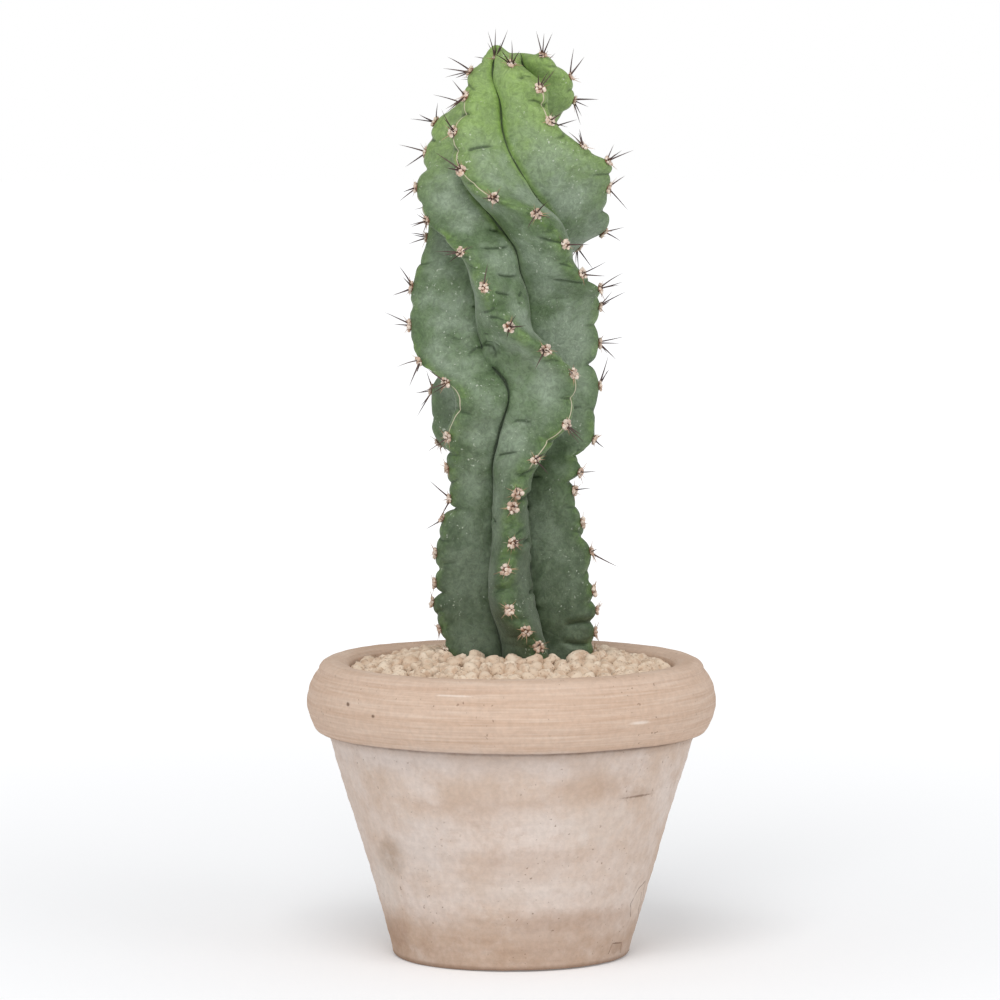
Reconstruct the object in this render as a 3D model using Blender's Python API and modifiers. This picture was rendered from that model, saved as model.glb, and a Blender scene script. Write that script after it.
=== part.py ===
"""A tall five-ribbed columnar cactus in a rimmed terracotta pot.

Pieces: the fired pot, the soil in it, the packed bed of pumice over the soil, the loose
pumice stones on top, and the cactus, which grew as one piece. Metres, +Z up, origin at the
centre of the pot's foot; the side of the cactus that is looked at faces -Y.
"""
import math

import bmesh
import bpy
import numpy as np

# Pot
RIM_RADIUS = 0.100          # widest part of the rolled rim
BASE_RADIUS = 0.058         # foot of the pot
POT_HEIGHT = 0.145          # foot to the crown of the lip
RIM_HEIGHT = 0.034          # rolled rim, from its underside to the lip
RIM_THICKNESS = 0.021       # rim, from its widest part to the inner face
RIM_OVERHANG = 0.0105       # rim standing out past the wall below it
RIM_BULGE = 0.0048          # how far the rim's face is rounded back at its edges
LIP_HEIGHT = 0.0050         # domed lip above the rim's face
LIP_STEP = 0.0008           # small step where the lip meets the face
WALL = 0.0105               # wall below the rim
FLOOR = 0.012               # floor of the pot
DRAIN_RADIUS = 0.010        # drain hole
FOOT_ROUNDING = 0.0020      # worn edge of the foot
UNDERCUT = 0.0005           # how far the wall runs up behind the rim's lower edge

# Filling
SOIL_DEPTH = 0.0220         # top of the soil, below the crown of the lip
BED_DEPTH = 0.0105          # top of the packed pumice at the wall, below the crown of the lip
BED_RISE = 0.0065           # how much higher the pumice is heaped round the stem
BED_CROWN_RADIUS = 0.030    # where the heap starts to fall towards the wall
STONE_COUNT = 36
STONE_MIN = 0.0030          # smallest stone's mean radius
STONE_MAX = 0.0044          # largest stone's mean radius
STONE_REACH = 2.2           # height of the largest stone over its mean radius, at most
STONE_WIDTH = (0.78, 0.95)  # a stone's width over its length
STONE_RISE = (0.70, 0.88)   # a stone's height over its length
LUMP = 0.05                 # height of a stone's lumps, over its radius
LUMP_PITCH = 1.6            # how close together the lumps are
PLACING_TRIES = 6000        # spots tried before there is taken to be no room
CLEARANCE = 0.0003          # between pieces that touch
STEM_CLEARANCE = 0.0012     # round the stem, measured along its skin's slopes

# Cactus
STEM_HEIGHT = 0.3035        # foot of the ribs to the growing tip
STEM_REACH = 0.0480         # axis to the furthest rib crest
RIB_FOOT_DEPTH = 0.0050     # where the ribs rise from the round root, below the lip's crown
ROOT_DEPTH = 0.0280         # stem below the foot of the ribs
ROOT_RADIUS = 0.0210        # round foot of the stem, in the soil
ROOT_MORPH = 0.0100         # depth over which the ribs fade into the round root
ROOT_TAPER = 0.3            # how far the root is drawn in at its foot, over its radius
GROOVE_SHARE = 0.42         # groove radius over crest radius
CREST_WIDTH = 0.0070        # half width that rounds a crest
SLIM_SHARE = 0.5            # share of the stem's reach under which a crest gets narrower
FLANK_REACH = 0.45          # how far out of the groove a flank runs straight, over its depth
FLANK_LEAN = 0.3            # direction of that straight run, over half the angle to the next rib
DOME_SHARE = 0.066          # share of the stem's height that closes as a dome

# Heights above the pot's foot that follow from the pot
SOIL_TOP = POT_HEIGHT - SOIL_DEPTH
BED_TOP = POT_HEIGHT - BED_DEPTH
RIB_FOOT = POT_HEIGHT - RIB_FOOT_DEPTH

# The tables below are drawn on a stem of this height and reach, in millimetres.
TABLE_HEIGHT = 303.5
TABLE_REACH = 48.0

# Each rib, from the ground up, through its areoles: height above their foot, angle
# round the stem from the front (-Y) towards +X in degrees, distance from the stem's line,
# and depth of the notch above it.
RIBS = (
    ((9, -72, 35, 0.6), (20, -80, 36.6, 0.9), (33, -84, 39.3, 4), (42, -84, 37.9, 1.9),
     (57, -82, 38, 0.3), (74, -80, 34.6, 4.9), (84, -76, 31.7, 0), (99, -72, 33.9, 1.2),
     (115, -58, 37.3, 2), (142, -44, 42.7, 0.6), (151, -72, 44.6, 0), (168, -86, 46, 1.3),
     (186, -92, 45.4, 0), (210, -104, 41.1, 0), (226, -122, 43.9, 2.7), (241, -156, 43.6, 2.7),
     (256, -178, 41, 2.5), (270, -190, 35, 2.3), (283, -202, 30, 2), (294, -214, 20, 0)),
    ((14, 20, 34.5, 1.8), (23, 8, 38, 1.8), (33, -3, 39, 3.4), (52, -5, 37, 2.3),
     (65, 0, 35, 3.1), (82, 0, 33, 1.3), (89, 3, 33, 2.9), (105, 16, 36, 3.1),
     (122, 40, 40, 3.6), (146, 47, 43.1, 2.2), (158, 25, 45.1, 2), (169, 3, 45, 3.4),
     (188, -13, 45, 3.1), (205, -31, 44, 2.5), (219, -68, 43.4, 0.6), (235, -84, 46.2, 3.7),
     (252, -102, 43.4, 1.6), (266, -106, 39.4, 0), (276, -118, 29.7, 4.5),
     (287, -134, 20.8, 1.6), (296, -146, 18.4, 0)),
    ((8, 84, 39.2, 1.1), (18, 84, 39, 2.7), (29, 84, 40.1, 2.2), (38, 84, 38.9, 2.2),
     (58, 84, 38.1, 2.5), (72, 80, 34.6, 0.1), (88, 70, 32, 4.3), (97, 68, 35.4, 6),
     (113, 86, 38.8, 1.1), (138, 96, 43.6, 5.1), (159, 96, 45.4, 2.1), (177, 90, 46.4, 1.4),
     (186, 76, 47.4, 2.9), (194, 54, 44.6, 2.7), (208, 38, 44.2, 2.7), (223, 16, 44, 1.4),
     (231, -12, 43, 2.3), (244, -38, 41, 3.2), (262, -55, 35.6, 3.1), (279, -56, 28.9, 0.6),
     (291, -78, 22.7, 2.1), (299, -96, 15.5, 0)),
    ((9, 150, 33, 2.2), (21, 150, 38, 2.3), (34, 148, 39, 2.3), (47, 147, 38, 2.3),
     (60, 146, 37, 2.5), (74, 143, 35, 2.5), (88, 138, 32.9, 2.3), (101, 140, 35.2, 2.7),
     (116, 150, 40, 3.6), (136, 162, 43, 3.6), (156, 161, 44, 3.6), (176, 152, 45.7, 2.7),
     (191, 144, 39, 6), (205, 120, 36.5, 0), (214, 104, 47.8, 3.5), (235, 84, 46.6, 0.2),
     (248, 72, 47.4, 2.6), (255, 60, 38.5, 0), (267, 38, 27.6, 2.9), (283, 24, 27, 2.7),
     (298, -13, 15, 0)),
    ((8, 216, 33, 2.2), (20, 212, 38, 2.2), (32, 210, 39, 2.5), (46, 212, 38, 2.5),
     (60, 214, 37, 2.5), (74, 217, 35, 2.3), (87, 222, 33.2, 2), (98, 226, 29.4, 3),
     (109.5, 247, 39.5, 3), (135.5, 250, 39.9, 6), (156, 228, 39, 2.5), (170, 210, 45.8, 3.2),
     (188, 196, 46, 3.6), (208, 175, 46, 2.5), (222, 158, 46, 2.5), (236, 145, 45, 2.5),
     (250, 135, 38.2, 2.5), (264, 122, 23, 0), (277, 94, 28.2, 0.7), (288, 75, 25.6, 3),
     (299, 42, 17.1, 0)),
)
# Sideways lean of the stem's line: height above the ribs' foot, offset towards +X.
LEAN = ((0, 2.0), (60, 0.5), (110, 1.0), (150, -2.0), (180, -3.5), (210, -1.0),
        (240, 0.5), (270, 1.5), (303, 3.5))

# Smoothness
POT_STEPS = 64
FILL_STEPS = 48
HALF_RIB_POINTS = 4         # points from a crest to a groove
ROW_HEIGHT = 0.0042         # distance between two sections of the stem
DOME_ROWS = 7               # sections that close the tip
SEED = 11

OBJECT_NAME = "potted_tall_cactus"


def clear_scene():
    for old in list(bpy.data.objects):
        bpy.data.objects.remove(old, do_unlink=True)


def make_collection(name):
    collection = bpy.data.collections.new(name)
    bpy.context.scene.collection.children.link(collection)
    return collection


def make_material(name, colour, roughness):
    """A Principled material of one plain colour."""
    material = bpy.data.materials.new(name)
    material.use_nodes = True
    shader = material.node_tree.nodes["Principled BSDF"]
    shader.inputs["Base Color"].default_value = (*colour, 1.0)
    shader.inputs["Roughness"].default_value = roughness
    shader.inputs["Metallic"].default_value = 0.0
    return material


def turned(name, profile, steps, collection, material):
    """Turn a profile of (radius, height) points about +Z; it runs down the outer side."""
    points = [(radius, 0.0, height) for radius, height in profile]
    mesh = bpy.data.meshes.new(name)
    mesh.from_pydata(points, [(i, i + 1) for i in range(len(points) - 1)], [])
    mesh.materials.append(material)
    item = bpy.data.objects.new(name, mesh)
    collection.objects.link(item)
    screw = item.modifiers.new("turn", "SCREW")
    screw.axis = "Z"
    screw.angle = 2.0 * math.pi
    screw.steps = steps
    screw.render_steps = steps
    screw.use_merge_vertices = True
    screw.merge_threshold = 0.00001
    screw.use_smooth_shade = True
    return item


def cut(item, cutter):
    """Boolean difference; the cutter stays in the file as a hidden guide."""
    cutter.hide_render = True
    cutter.display_type = "WIRE"
    boolean = item.modifiers.new("cut_" + cutter.name, "BOOLEAN")
    boolean.operation = "DIFFERENCE"
    boolean.solver = "EXACT"
    boolean.object = cutter


def ellipse(centre_r, centre_z, half_r, half_z, start, end, count):
    """Points on an ellipse in the profile's plane, from one angle to another in degrees."""
    angles = np.radians(np.linspace(start, end, count))
    return [(centre_r + half_r * math.cos(a), centre_z + half_z * math.sin(a)) for a in angles]


def rim_foot():
    """Height of the rolled rim's underside."""
    return POT_HEIGHT - RIM_HEIGHT


def wall_top_radius():
    """Outside of the wall where it goes under the rim."""
    return RIM_RADIUS - RIM_OVERHANG


def inner_radius(height):
    """Inside of the pot: straight up behind the rim, parallel to the wall below it."""
    top = RIM_RADIUS - RIM_THICKNESS
    bottom = BASE_RADIUS + (wall_top_radius() - BASE_RADIUS) * FLOOR / rim_foot() - WALL
    share = min(max((height - FLOOR) / (rim_foot() - FLOOR), 0.0), 1.0)
    return bottom + (top - bottom) * share


def pot_profile():
    """Lip, rolled face, underside, wall, foot, drain hole, floor and inner face."""
    face_bottom = rim_foot()
    lip_base = POT_HEIGHT - LIP_HEIGHT
    face_middle = 0.5 * (lip_base - LIP_STEP + face_bottom)
    face_half = lip_base - LIP_STEP - face_middle
    lip_outer = RIM_RADIUS - RIM_BULGE - LIP_STEP
    lip_inner = RIM_RADIUS - RIM_THICKNESS
    crown = 0.5 * (lip_inner + lip_outer)
    profile = ellipse(crown, lip_base, lip_outer - crown, LIP_HEIGHT, 180, 0, 9)
    for share in np.linspace(1.0, -1.0, 7):
        profile.append((RIM_RADIUS - RIM_BULGE * share ** 2, face_middle + face_half * share))
    profile.append((wall_top_radius(), face_bottom - UNDERCUT))
    profile += ellipse(BASE_RADIUS - FOOT_ROUNDING, FOOT_ROUNDING, FOOT_ROUNDING,
                       FOOT_ROUNDING, 0, -90, 3)
    profile += [(DRAIN_RADIUS, 0.0), (DRAIN_RADIUS, FLOOR)]
    profile += [(inner_radius(height), height) for height in (FLOOR, face_bottom)]
    profile.append(profile[0])
    return profile


def bed_height(distance):
    """Top of the packed pumice: level round the stem, then falling evenly to the wall."""
    wall = inner_radius(BED_TOP)
    share = min(max((distance - BED_CROWN_RADIUS) / (wall - BED_CROWN_RADIUS), 0.0), 1.0)
    return BED_TOP + BED_RISE * (1 - share)


def filling_profile(top, bottom, crown=0.0):
    """A plug of the pot's inside between two heights, closed on the axis at both ends.

    With a crown its top is heaped up by that much round the stem.
    """
    heights = [top, bottom]
    if bottom < rim_foot() < top:
        heights.insert(1, rim_foot())
    sides = [(inner_radius(height) - 2 * CLEARANCE, height) for height in heights]
    heap = [(BED_CROWN_RADIUS, top + crown)] if crown else []
    return [(0.0, top + crown), *heap, *sides, (0.0, bottom)]


def smooth_curve(x, knots, values):
    """A cubic Hermite curve through the knots, with the neighbours' slope at each knot."""
    knots = np.asarray(knots, dtype=float)
    values = np.asarray(values, dtype=float)
    slopes = np.gradient(values, knots)
    x = np.clip(np.asarray(x, dtype=float), knots[0], knots[-1])
    cell = np.clip(np.searchsorted(knots, x, side="right") - 1, 0, len(knots) - 2)
    width = knots[cell + 1] - knots[cell]
    t = (x - knots[cell]) / width
    start = (1 + 2 * t) * (1 - t) ** 2
    leave = t * (1 - t) ** 2 * width
    arrive = t * t * (t - 1) * width
    return (start * values[cell] + leave * slopes[cell]
            + (1 - start) * values[cell + 1] + arrive * slopes[cell + 1])


def crest(rib, height):
    """Angle in radians and distance in metres of a rib's crest, at table heights.

    Between two areoles the crest dips to a sharp notch, and past the last one it draws in
    as a dome.
    """
    knots, angles, reach, notches = (np.array(row, dtype=float) for row in zip(*RIBS[rib]))
    inside = np.clip(height, knots[0], knots[-1])
    angle = np.radians(smooth_curve(inside, knots, angles))
    cell = np.clip(np.searchsorted(knots, inside, side="right") - 1, 0, len(knots) - 2)
    spacing = knots[cell + 1] - knots[cell]
    off_middle = np.abs(2 * (inside - knots[cell]) / spacing - 1)
    distance = smooth_curve(inside, knots, reach) - notches[cell] * (1 - off_middle) ** 2
    distance = distance * STEM_REACH / TABLE_REACH
    above = np.clip((height - knots[-1]) / (TABLE_HEIGHT - knots[-1]), 0, 1)
    return angle, distance * np.sqrt(1 - above ** 2)


def half_rib(tip, groove, half_gap):
    """A cubic Bezier from the crest's tip to the groove, as runs along and across the rib.

    It leaves the tip sideways, which rounds the crest, and meets the groove nearly along the
    radius, which makes a narrow crease between two ribs.
    """
    s = np.linspace(0, 1, HALF_RIB_POINTS + 1)[:, None]
    weights = ((1 - s) ** 3, 3 * (1 - s) ** 2 * s, 3 * (1 - s) * s ** 2, s ** 3)
    width = CREST_WIDTH * np.minimum(1, tip / (SLIM_SHARE * STEM_REACH))
    end_along = groove * np.cos(half_gap)
    end_across = groove * np.sin(half_gap)
    run = FLANK_REACH * (tip - groove)
    along = (tip, tip, end_along + run * np.cos(FLANK_LEAN * half_gap), end_along)
    across = (0 * tip, width, end_across + run * np.sin(FLANK_LEAN * half_gap), end_across)
    return (sum(w * a for w, a in zip(weights, along)),
            sum(w * a for w, a in zip(weights, across)))


def stem_points(heights):
    """Sections of the stem: an array of rows by columns by xyz, for heights above the ribs' foot."""
    table_height = np.clip(heights / STEM_HEIGHT, 0, 1) * TABLE_HEIGHT
    crests = [crest(rib, table_height) for rib in range(len(RIBS))]
    columns = []
    for rib, (angle, tip) in enumerate(crests):
        next_angle, next_tip = crests[(rib + 1) % len(RIBS)]
        if rib == len(RIBS) - 1:
            next_angle = next_angle + 2 * math.pi
        half_gap = 0.5 * (next_angle - angle)
        groove = GROOVE_SHARE * 0.5 * (tip + next_tip)
        along, across = half_rib(tip, groove, half_gap)
        for point in range(HALF_RIB_POINTS):
            columns.append((angle, along[point], across[point]))
        along, across = half_rib(next_tip, groove, half_gap)
        for point in range(HALF_RIB_POINTS, 0, -1):
            columns.append((next_angle, along[point], -across[point]))
    angle, along, across = (np.array(part).T for part in zip(*columns))
    x = along * np.sin(angle) + across * np.cos(angle)
    y = across * np.sin(angle) - along * np.cos(angle)
    x, y = root_round(x, y, heights[:, None])
    lean = smooth_curve(table_height, *zip(*LEAN))[:, None] * STEM_REACH / TABLE_REACH / 1000
    z = np.repeat((heights + RIB_FOOT)[:, None], x.shape[1], axis=1)
    return np.stack([x + lean, y, z], axis=2)


def root_round(x, y, heights):
    """Below their foot the ribbed section fades into a circle, drawn in at its foot."""
    share = np.clip(-heights / ROOT_MORPH, 0, 1)
    share = share * share * (3 - 2 * share)
    taper = np.clip((-heights - ROOT_MORPH) / (ROOT_DEPTH - ROOT_MORPH), 0, 1)
    radius = ROOT_RADIUS * (1 - ROOT_TAPER * taper ** 2)
    around = np.arctan2(y, x)
    return (x + (radius * np.cos(around) - x) * share,
            y + (radius * np.sin(around) - y) * share)


def stem_heights():
    """Rows from the foot of the root to just under the tip, closer together on the dome."""
    dome = STEM_HEIGHT * DOME_SHARE
    count = round((STEM_HEIGHT - dome + ROOT_DEPTH) / ROW_HEIGHT)
    straight = np.linspace(-ROOT_DEPTH, STEM_HEIGHT - dome, count)
    angles = np.linspace(0, 0.5 * math.pi, DOME_ROWS + 2)[1:-1]
    return np.concatenate([straight, STEM_HEIGHT - dome + dome * np.sin(angles)])


def make_stem(name, collection, material, grown=0.0):
    """The cactus as one closed loft; grown moves its skin out, for the holes it stands in."""
    rows = stem_points(stem_heights())
    count, around = rows.shape[:2]
    tip = (LEAN[-1][1] * STEM_REACH / TABLE_REACH / 1000, 0.0, RIB_FOOT + STEM_HEIGHT)
    foot = (LEAN[0][1] * STEM_REACH / TABLE_REACH / 1000, 0.0, RIB_FOOT - ROOT_DEPTH)
    points = [tuple(point) for point in rows.reshape(-1, 3)] + [tip, foot]
    faces = []
    for row in range(count - 1):
        for column in range(around):
            beside = (column + 1) % around
            low = row * around
            high = low + around
            faces.append((low + column, low + beside, high + beside, high + column))
    top = (count - 1) * around
    for column in range(around):
        beside = (column + 1) % around
        faces.append((top + column, top + beside, len(points) - 2))
        faces.append((beside, column, len(points) - 1))
    mesh = bpy.data.meshes.new(name)
    mesh.from_pydata(points, [], faces)
    if grown:
        normals = np.array([vertex.normal for vertex in mesh.vertices])
        mesh.vertices.foreach_set("co", (np.array(points) + normals * grown).ravel())
    mesh.update()
    mesh.shade_smooth()
    if material is not None:
        mesh.materials.append(material)
    item = bpy.data.objects.new(name, mesh)
    collection.objects.link(item)
    return item


def stone_mesh(rng, radius):
    """A rounded, uneven, slightly flat pumice stone about its own centre."""
    mesh = bpy.data.meshes.new("pumice")
    shape = bmesh.new()
    bmesh.ops.create_icosphere(shape, subdivisions=2, radius=1.0)
    directions = np.array([vertex.co for vertex in shape.verts])
    waves = rng.normal(size=(4, 3))
    phases = rng.uniform(0, 2 * math.pi, 4)
    lumps = np.sin(directions @ waves.T * LUMP_PITCH + phases).sum(axis=1) * LUMP
    squash = np.array([1.0, rng.uniform(*STONE_WIDTH), rng.uniform(*STONE_RISE)])
    turn = rng.uniform(0, math.pi)
    spin = np.array([[math.cos(turn), -math.sin(turn), 0],
                     [math.sin(turn), math.cos(turn), 0], [0, 0, 1]])
    points = (directions * (1 + lumps)[:, None] * squash * radius) @ spin.T
    for vertex, point in zip(shape.verts, points):
        vertex.co = point
    shape.to_mesh(mesh)
    shape.free()
    return mesh, points


def stem_outline():
    """Points close together round the stem, over the heights that the stones reach."""
    highest = BED_TOP + BED_RISE + STONE_REACH * STONE_MAX
    heights = np.linspace(BED_TOP, highest, 6) - RIB_FOOT
    rows = stem_points(heights)[:, :, :2]
    steps = np.linspace(0, 1, 4, endpoint=False)[:, None, None, None]
    between = rows + (np.roll(rows, -1, axis=1) - rows) * steps
    return between.reshape(-1, 2)


def make_stones(collection, material):
    """Loose stones dropped one by one where each clears the stem, the pot and the others.

    Stops with an error where the tries run out, as there is then no room for them all.
    """
    rng = np.random.default_rng(SEED)
    outline = stem_outline()
    placed = []
    for _ in range(PLACING_TRIES):
        if len(placed) == STONE_COUNT:
            break
        mesh, points = stone_mesh(rng, rng.uniform(STONE_MIN, STONE_MAX))
        size = np.linalg.norm(points[:, :2], axis=1).max() + CLEARANCE
        angle = rng.uniform(0, 2 * math.pi)
        outer = inner_radius(BED_TOP) - size - CLEARANCE
        distance = math.sqrt(rng.uniform(ROOT_RADIUS ** 2, outer ** 2))
        spot = np.array([distance * math.cos(angle), distance * math.sin(angle)])
        from_stem = np.linalg.norm(outline - spot, axis=1)
        inside_stem = distance < np.linalg.norm(outline[from_stem.argmin()])
        blocked = inside_stem or from_stem.min() < size + 2 * CLEARANCE
        if blocked or any(np.linalg.norm(spot - old) < size + reach for old, reach in placed):
            bpy.data.meshes.remove(mesh)
            continue
        placed.append((spot, size))
        mesh.materials.append(material)
        mesh.shade_smooth()
        stone = bpy.data.objects.new(f"pumice_{len(placed):02d}", mesh)
        collection.objects.link(stone)
        rest = bed_height(distance - size) + CLEARANCE
        stone.location = (spot[0], spot[1], rest - points[:, 2].min())
    if len(placed) < STONE_COUNT:
        raise ValueError(f"room for only {len(placed)} of {STONE_COUNT} stones")


def main():
    clear_scene()
    parts = make_collection(OBJECT_NAME)
    cutters = make_collection("cutters")
    terracotta = make_material("terracotta_pale", (0.58, 0.44, 0.33), 0.85)
    earth = make_material("soil_dark", (0.06, 0.04, 0.03), 0.95)
    pumice = make_material("pumice_beige", (0.66, 0.53, 0.38), 0.92)
    skin = make_material("cactus_skin_green", (0.11, 0.20, 0.09), 0.55)

    turned("pot", pot_profile(), POT_STEPS, parts, terracotta)
    make_stem("stem", parts, skin)
    soil = turned("soil", filling_profile(SOIL_TOP, FLOOR + CLEARANCE), FILL_STEPS, parts, earth)
    bed = turned("gravel_bed", filling_profile(BED_TOP, SOIL_TOP + CLEARANCE, BED_RISE),
                 FILL_STEPS, parts, pumice)
    hole = make_stem("stem_hole", cutters, None, grown=STEM_CLEARANCE)
    cut(soil, hole)
    cut(bed, hole)
    make_stones(parts, pumice)


main()
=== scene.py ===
# %% [markdown]
# # A tall cactus in a terracotta pot
# The object is a columnar cactus with five ribs that twist one way and then the other, about
# 30 cm tall, in a 20 cm unglazed pot topped with pumice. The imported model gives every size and
# place, so this script only adds what the eye wants: skin, wool, spines, stones and clay.

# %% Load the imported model
import math

import bpy
import numpy as np
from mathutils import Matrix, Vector


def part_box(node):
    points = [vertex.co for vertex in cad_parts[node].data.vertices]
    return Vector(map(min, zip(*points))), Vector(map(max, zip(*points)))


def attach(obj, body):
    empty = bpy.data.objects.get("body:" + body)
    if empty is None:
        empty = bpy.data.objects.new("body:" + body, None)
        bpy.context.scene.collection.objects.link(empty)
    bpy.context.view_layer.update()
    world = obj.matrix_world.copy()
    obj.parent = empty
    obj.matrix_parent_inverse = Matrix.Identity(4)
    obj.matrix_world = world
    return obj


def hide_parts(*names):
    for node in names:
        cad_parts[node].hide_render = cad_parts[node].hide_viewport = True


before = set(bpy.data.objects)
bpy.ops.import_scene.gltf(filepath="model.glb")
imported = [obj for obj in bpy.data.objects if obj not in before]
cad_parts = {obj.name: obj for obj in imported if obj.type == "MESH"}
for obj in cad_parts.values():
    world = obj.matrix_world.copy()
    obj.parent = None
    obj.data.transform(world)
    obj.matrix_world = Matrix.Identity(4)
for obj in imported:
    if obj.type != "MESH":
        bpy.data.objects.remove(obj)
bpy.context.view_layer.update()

# %% [markdown]
# ## Camera, floor and light
# The camera stands 2.5 m away and a little above the rim, with a long lens, so the pot's rim
# shows as a narrow ellipse. The light is that of a white studio: a bright room all round, one
# broad soft lamp above and in front, and a weaker one on the other side.

# %% Colour and node helpers
MM = 0.001


def linear(text):
    """Turn an sRGB hex colour into linear red, green, blue and alpha.

    Each channel v from 0 to 1 becomes v / 12.92 when dark, else ((v + 0.055) / 1.055) ^ 2.4.
    """
    channels = [int(text[i:i + 2], 16) / 255 for i in (1, 3, 5)]
    curved = [v / 12.92 if v <= 0.04045 else ((v + 0.055) / 1.055) ** 2.4 for v in channels]
    return (*curved, 1.0)


def add_node(tree, kind, inputs=None, **settings):
    """Add a node, set its properties, then fill or link its inputs by name or number."""
    made = tree.nodes.new(kind)
    for name, value in settings.items():
        setattr(made, name, value)
    for key, value in (inputs or {}).items():
        if isinstance(value, bpy.types.NodeSocket):
            tree.links.new(value, made.inputs[key])
        else:
            made.inputs[key].default_value = value
    return made


def new_material(name):
    """An empty node material with its output and a Principled shader."""
    material = bpy.data.materials.new(name)
    material.use_nodes = True
    tree = material.node_tree
    return material, tree, tree.nodes["Principled BSDF"]


# %% Camera
CAMERA_DISTANCE = 2.5
CAMERA_HEIGHT = 0.440
CAMERA_ASIDE = -0.0056
CAMERA_TILT = math.radians(4.97)
LENS_MM = 185.2

camera = bpy.data.objects.new("camera", bpy.data.cameras.new("camera"))
bpy.context.scene.collection.objects.link(camera)
camera.location = (CAMERA_ASIDE, -CAMERA_DISTANCE, CAMERA_HEIGHT)
camera.rotation_euler = (math.pi / 2 - CAMERA_TILT, 0, 0)
camera.data.lens = LENS_MM
camera.data.sensor_width = 36.0
bpy.context.scene.camera = camera
bpy.context.scene.view_settings.view_transform = "Standard"
print("camera", tuple(round(v, 3) for v in camera.location))

# %% White room
ROOM_LIGHT = 0.55

world = bpy.data.worlds.new("white_room")
bpy.context.scene.world = world
world.use_nodes = True
room = world.node_tree
room.nodes.clear()
seen = add_node(room, "ShaderNodeLightPath")
glow = add_node(room, "ShaderNodeBackground", {"Color": (1, 1, 1, 1), "Strength": ROOM_LIGHT})
white = add_node(room, "ShaderNodeBackground", {"Color": (1, 1, 1, 1), "Strength": 1.0})
either = add_node(room, "ShaderNodeMixShader", {0: seen.outputs["Is Camera Ray"],
                                                1: glow.outputs[0], 2: white.outputs[0]})
add_node(room, "ShaderNodeOutputWorld", {"Surface": either.outputs[0]})


def soft_lamp(name, place, aim, size, power):
    """A square area lamp at place, turned towards aim."""
    lamp = bpy.data.objects.new(name, bpy.data.lights.new(name, "AREA"))
    lamp.data.size = size
    lamp.data.energy = power
    lamp.location = place
    lamp.rotation_euler = (Vector(aim) - Vector(place)).to_track_quat("-Z", "Y").to_euler()
    bpy.context.scene.collection.objects.link(lamp)
    return lamp


soft_lamp("key_lamp", (-0.25, -1.5, 2.1), (0, 0, 0.22), 1.2, 27)
soft_lamp("fill_lamp", (1.5, -1.3, 1.2), (0, 0, 0.20), 1.0, 5)

# %% Floor
FLOOR_SIZE = 30.0
floor_mesh = bpy.data.meshes.new("floor")
half = FLOOR_SIZE / 2
floor_mesh.from_pydata([(-half, -half, -0.0002), (half, -half, -0.0002),
                        (half, half, -0.0002), (-half, half, -0.0002)], [], [(0, 1, 2, 3)])
floor = bpy.data.objects.new("floor", floor_mesh)
bpy.context.scene.collection.objects.link(floor)
material, tree, shader = new_material("white_paper_floor")
place = add_node(tree, "ShaderNodeTexCoord")
away = add_node(tree, "ShaderNodeVectorMath", {0: place.outputs["Object"]}, operation="LENGTH")
glow = add_node(tree, "ShaderNodeMapRange", {"Value": away.outputs["Value"], "From Min": 0.1,
                                             "From Max": 1.6, "To Min": 0.13, "To Max": 0.60})
tree.links.new(glow.outputs[0], shader.inputs["Emission Strength"])
shader.inputs["Emission Color"].default_value = (1, 1, 1, 1)
shader.inputs["Base Color"].default_value = linear("#f0f1f3")
shader.inputs["Roughness"].default_value = 1.0
shader.inputs["Specular IOR Level"].default_value = 0.0
floor_mesh.materials.append(material)

# %% [markdown]
# ## Meshes from arrays
# Every new piece here is a surface worked out with numpy: points first, then the faces that
# join them. Two small functions do the joining for grids and hand the arrays to Blender, and
# one more gives smooth random bumps that come out the same each run.


# %% Mesh helpers
def ring_quads(rows, columns, closed_rows=False):
    """Quads of a rows by columns grid whose columns close into rings (and rows, if asked)."""
    low = np.arange(rows if closed_rows else rows - 1)
    high = (low + 1) % rows
    column = np.arange(columns)
    beside = (column + 1) % columns
    corners = [low[:, None] * columns + column, low[:, None] * columns + beside,
               high[:, None] * columns + beside, high[:, None] * columns + column]
    return np.stack(corners, axis=-1).reshape(-1, 4)


def make_piece(name, points, quads, triangles=(), attributes=None, material=None):
    """A smooth mesh object from point, quad and triangle arrays, with number attributes."""
    points = np.asarray(points, dtype=np.float32).reshape(-1, 3)
    quads = np.asarray(quads, dtype=np.int32).reshape(-1, 4)
    triangles = np.asarray(triangles, dtype=np.int32).reshape(-1, 3)
    corners = np.concatenate([quads.ravel(), triangles.ravel()])
    starts = np.concatenate([np.arange(len(quads)) * 4,
                             len(quads) * 4 + np.arange(len(triangles)) * 3])
    mesh = bpy.data.meshes.new(name)
    mesh.vertices.add(len(points))
    mesh.vertices.foreach_set("co", points.ravel())
    mesh.loops.add(len(corners))
    mesh.loops.foreach_set("vertex_index", corners)
    mesh.polygons.add(len(starts))
    mesh.polygons.foreach_set("loop_start", starts.astype(np.int32))
    mesh.update(calc_edges=True)
    mesh.shade_smooth()
    for key, values in (attributes or {}).items():
        layer = mesh.attributes.new(key, "FLOAT", "POINT")
        layer.data.foreach_set("value", np.asarray(values, dtype=np.float32).ravel())
    if material is not None:
        mesh.materials.append(material)
    piece = bpy.data.objects.new(name, mesh)
    bpy.context.scene.collection.objects.link(piece)
    print(f"{name}: {len(points)} points, {2 * len(quads) + len(triangles)} triangles")
    return piece


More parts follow.
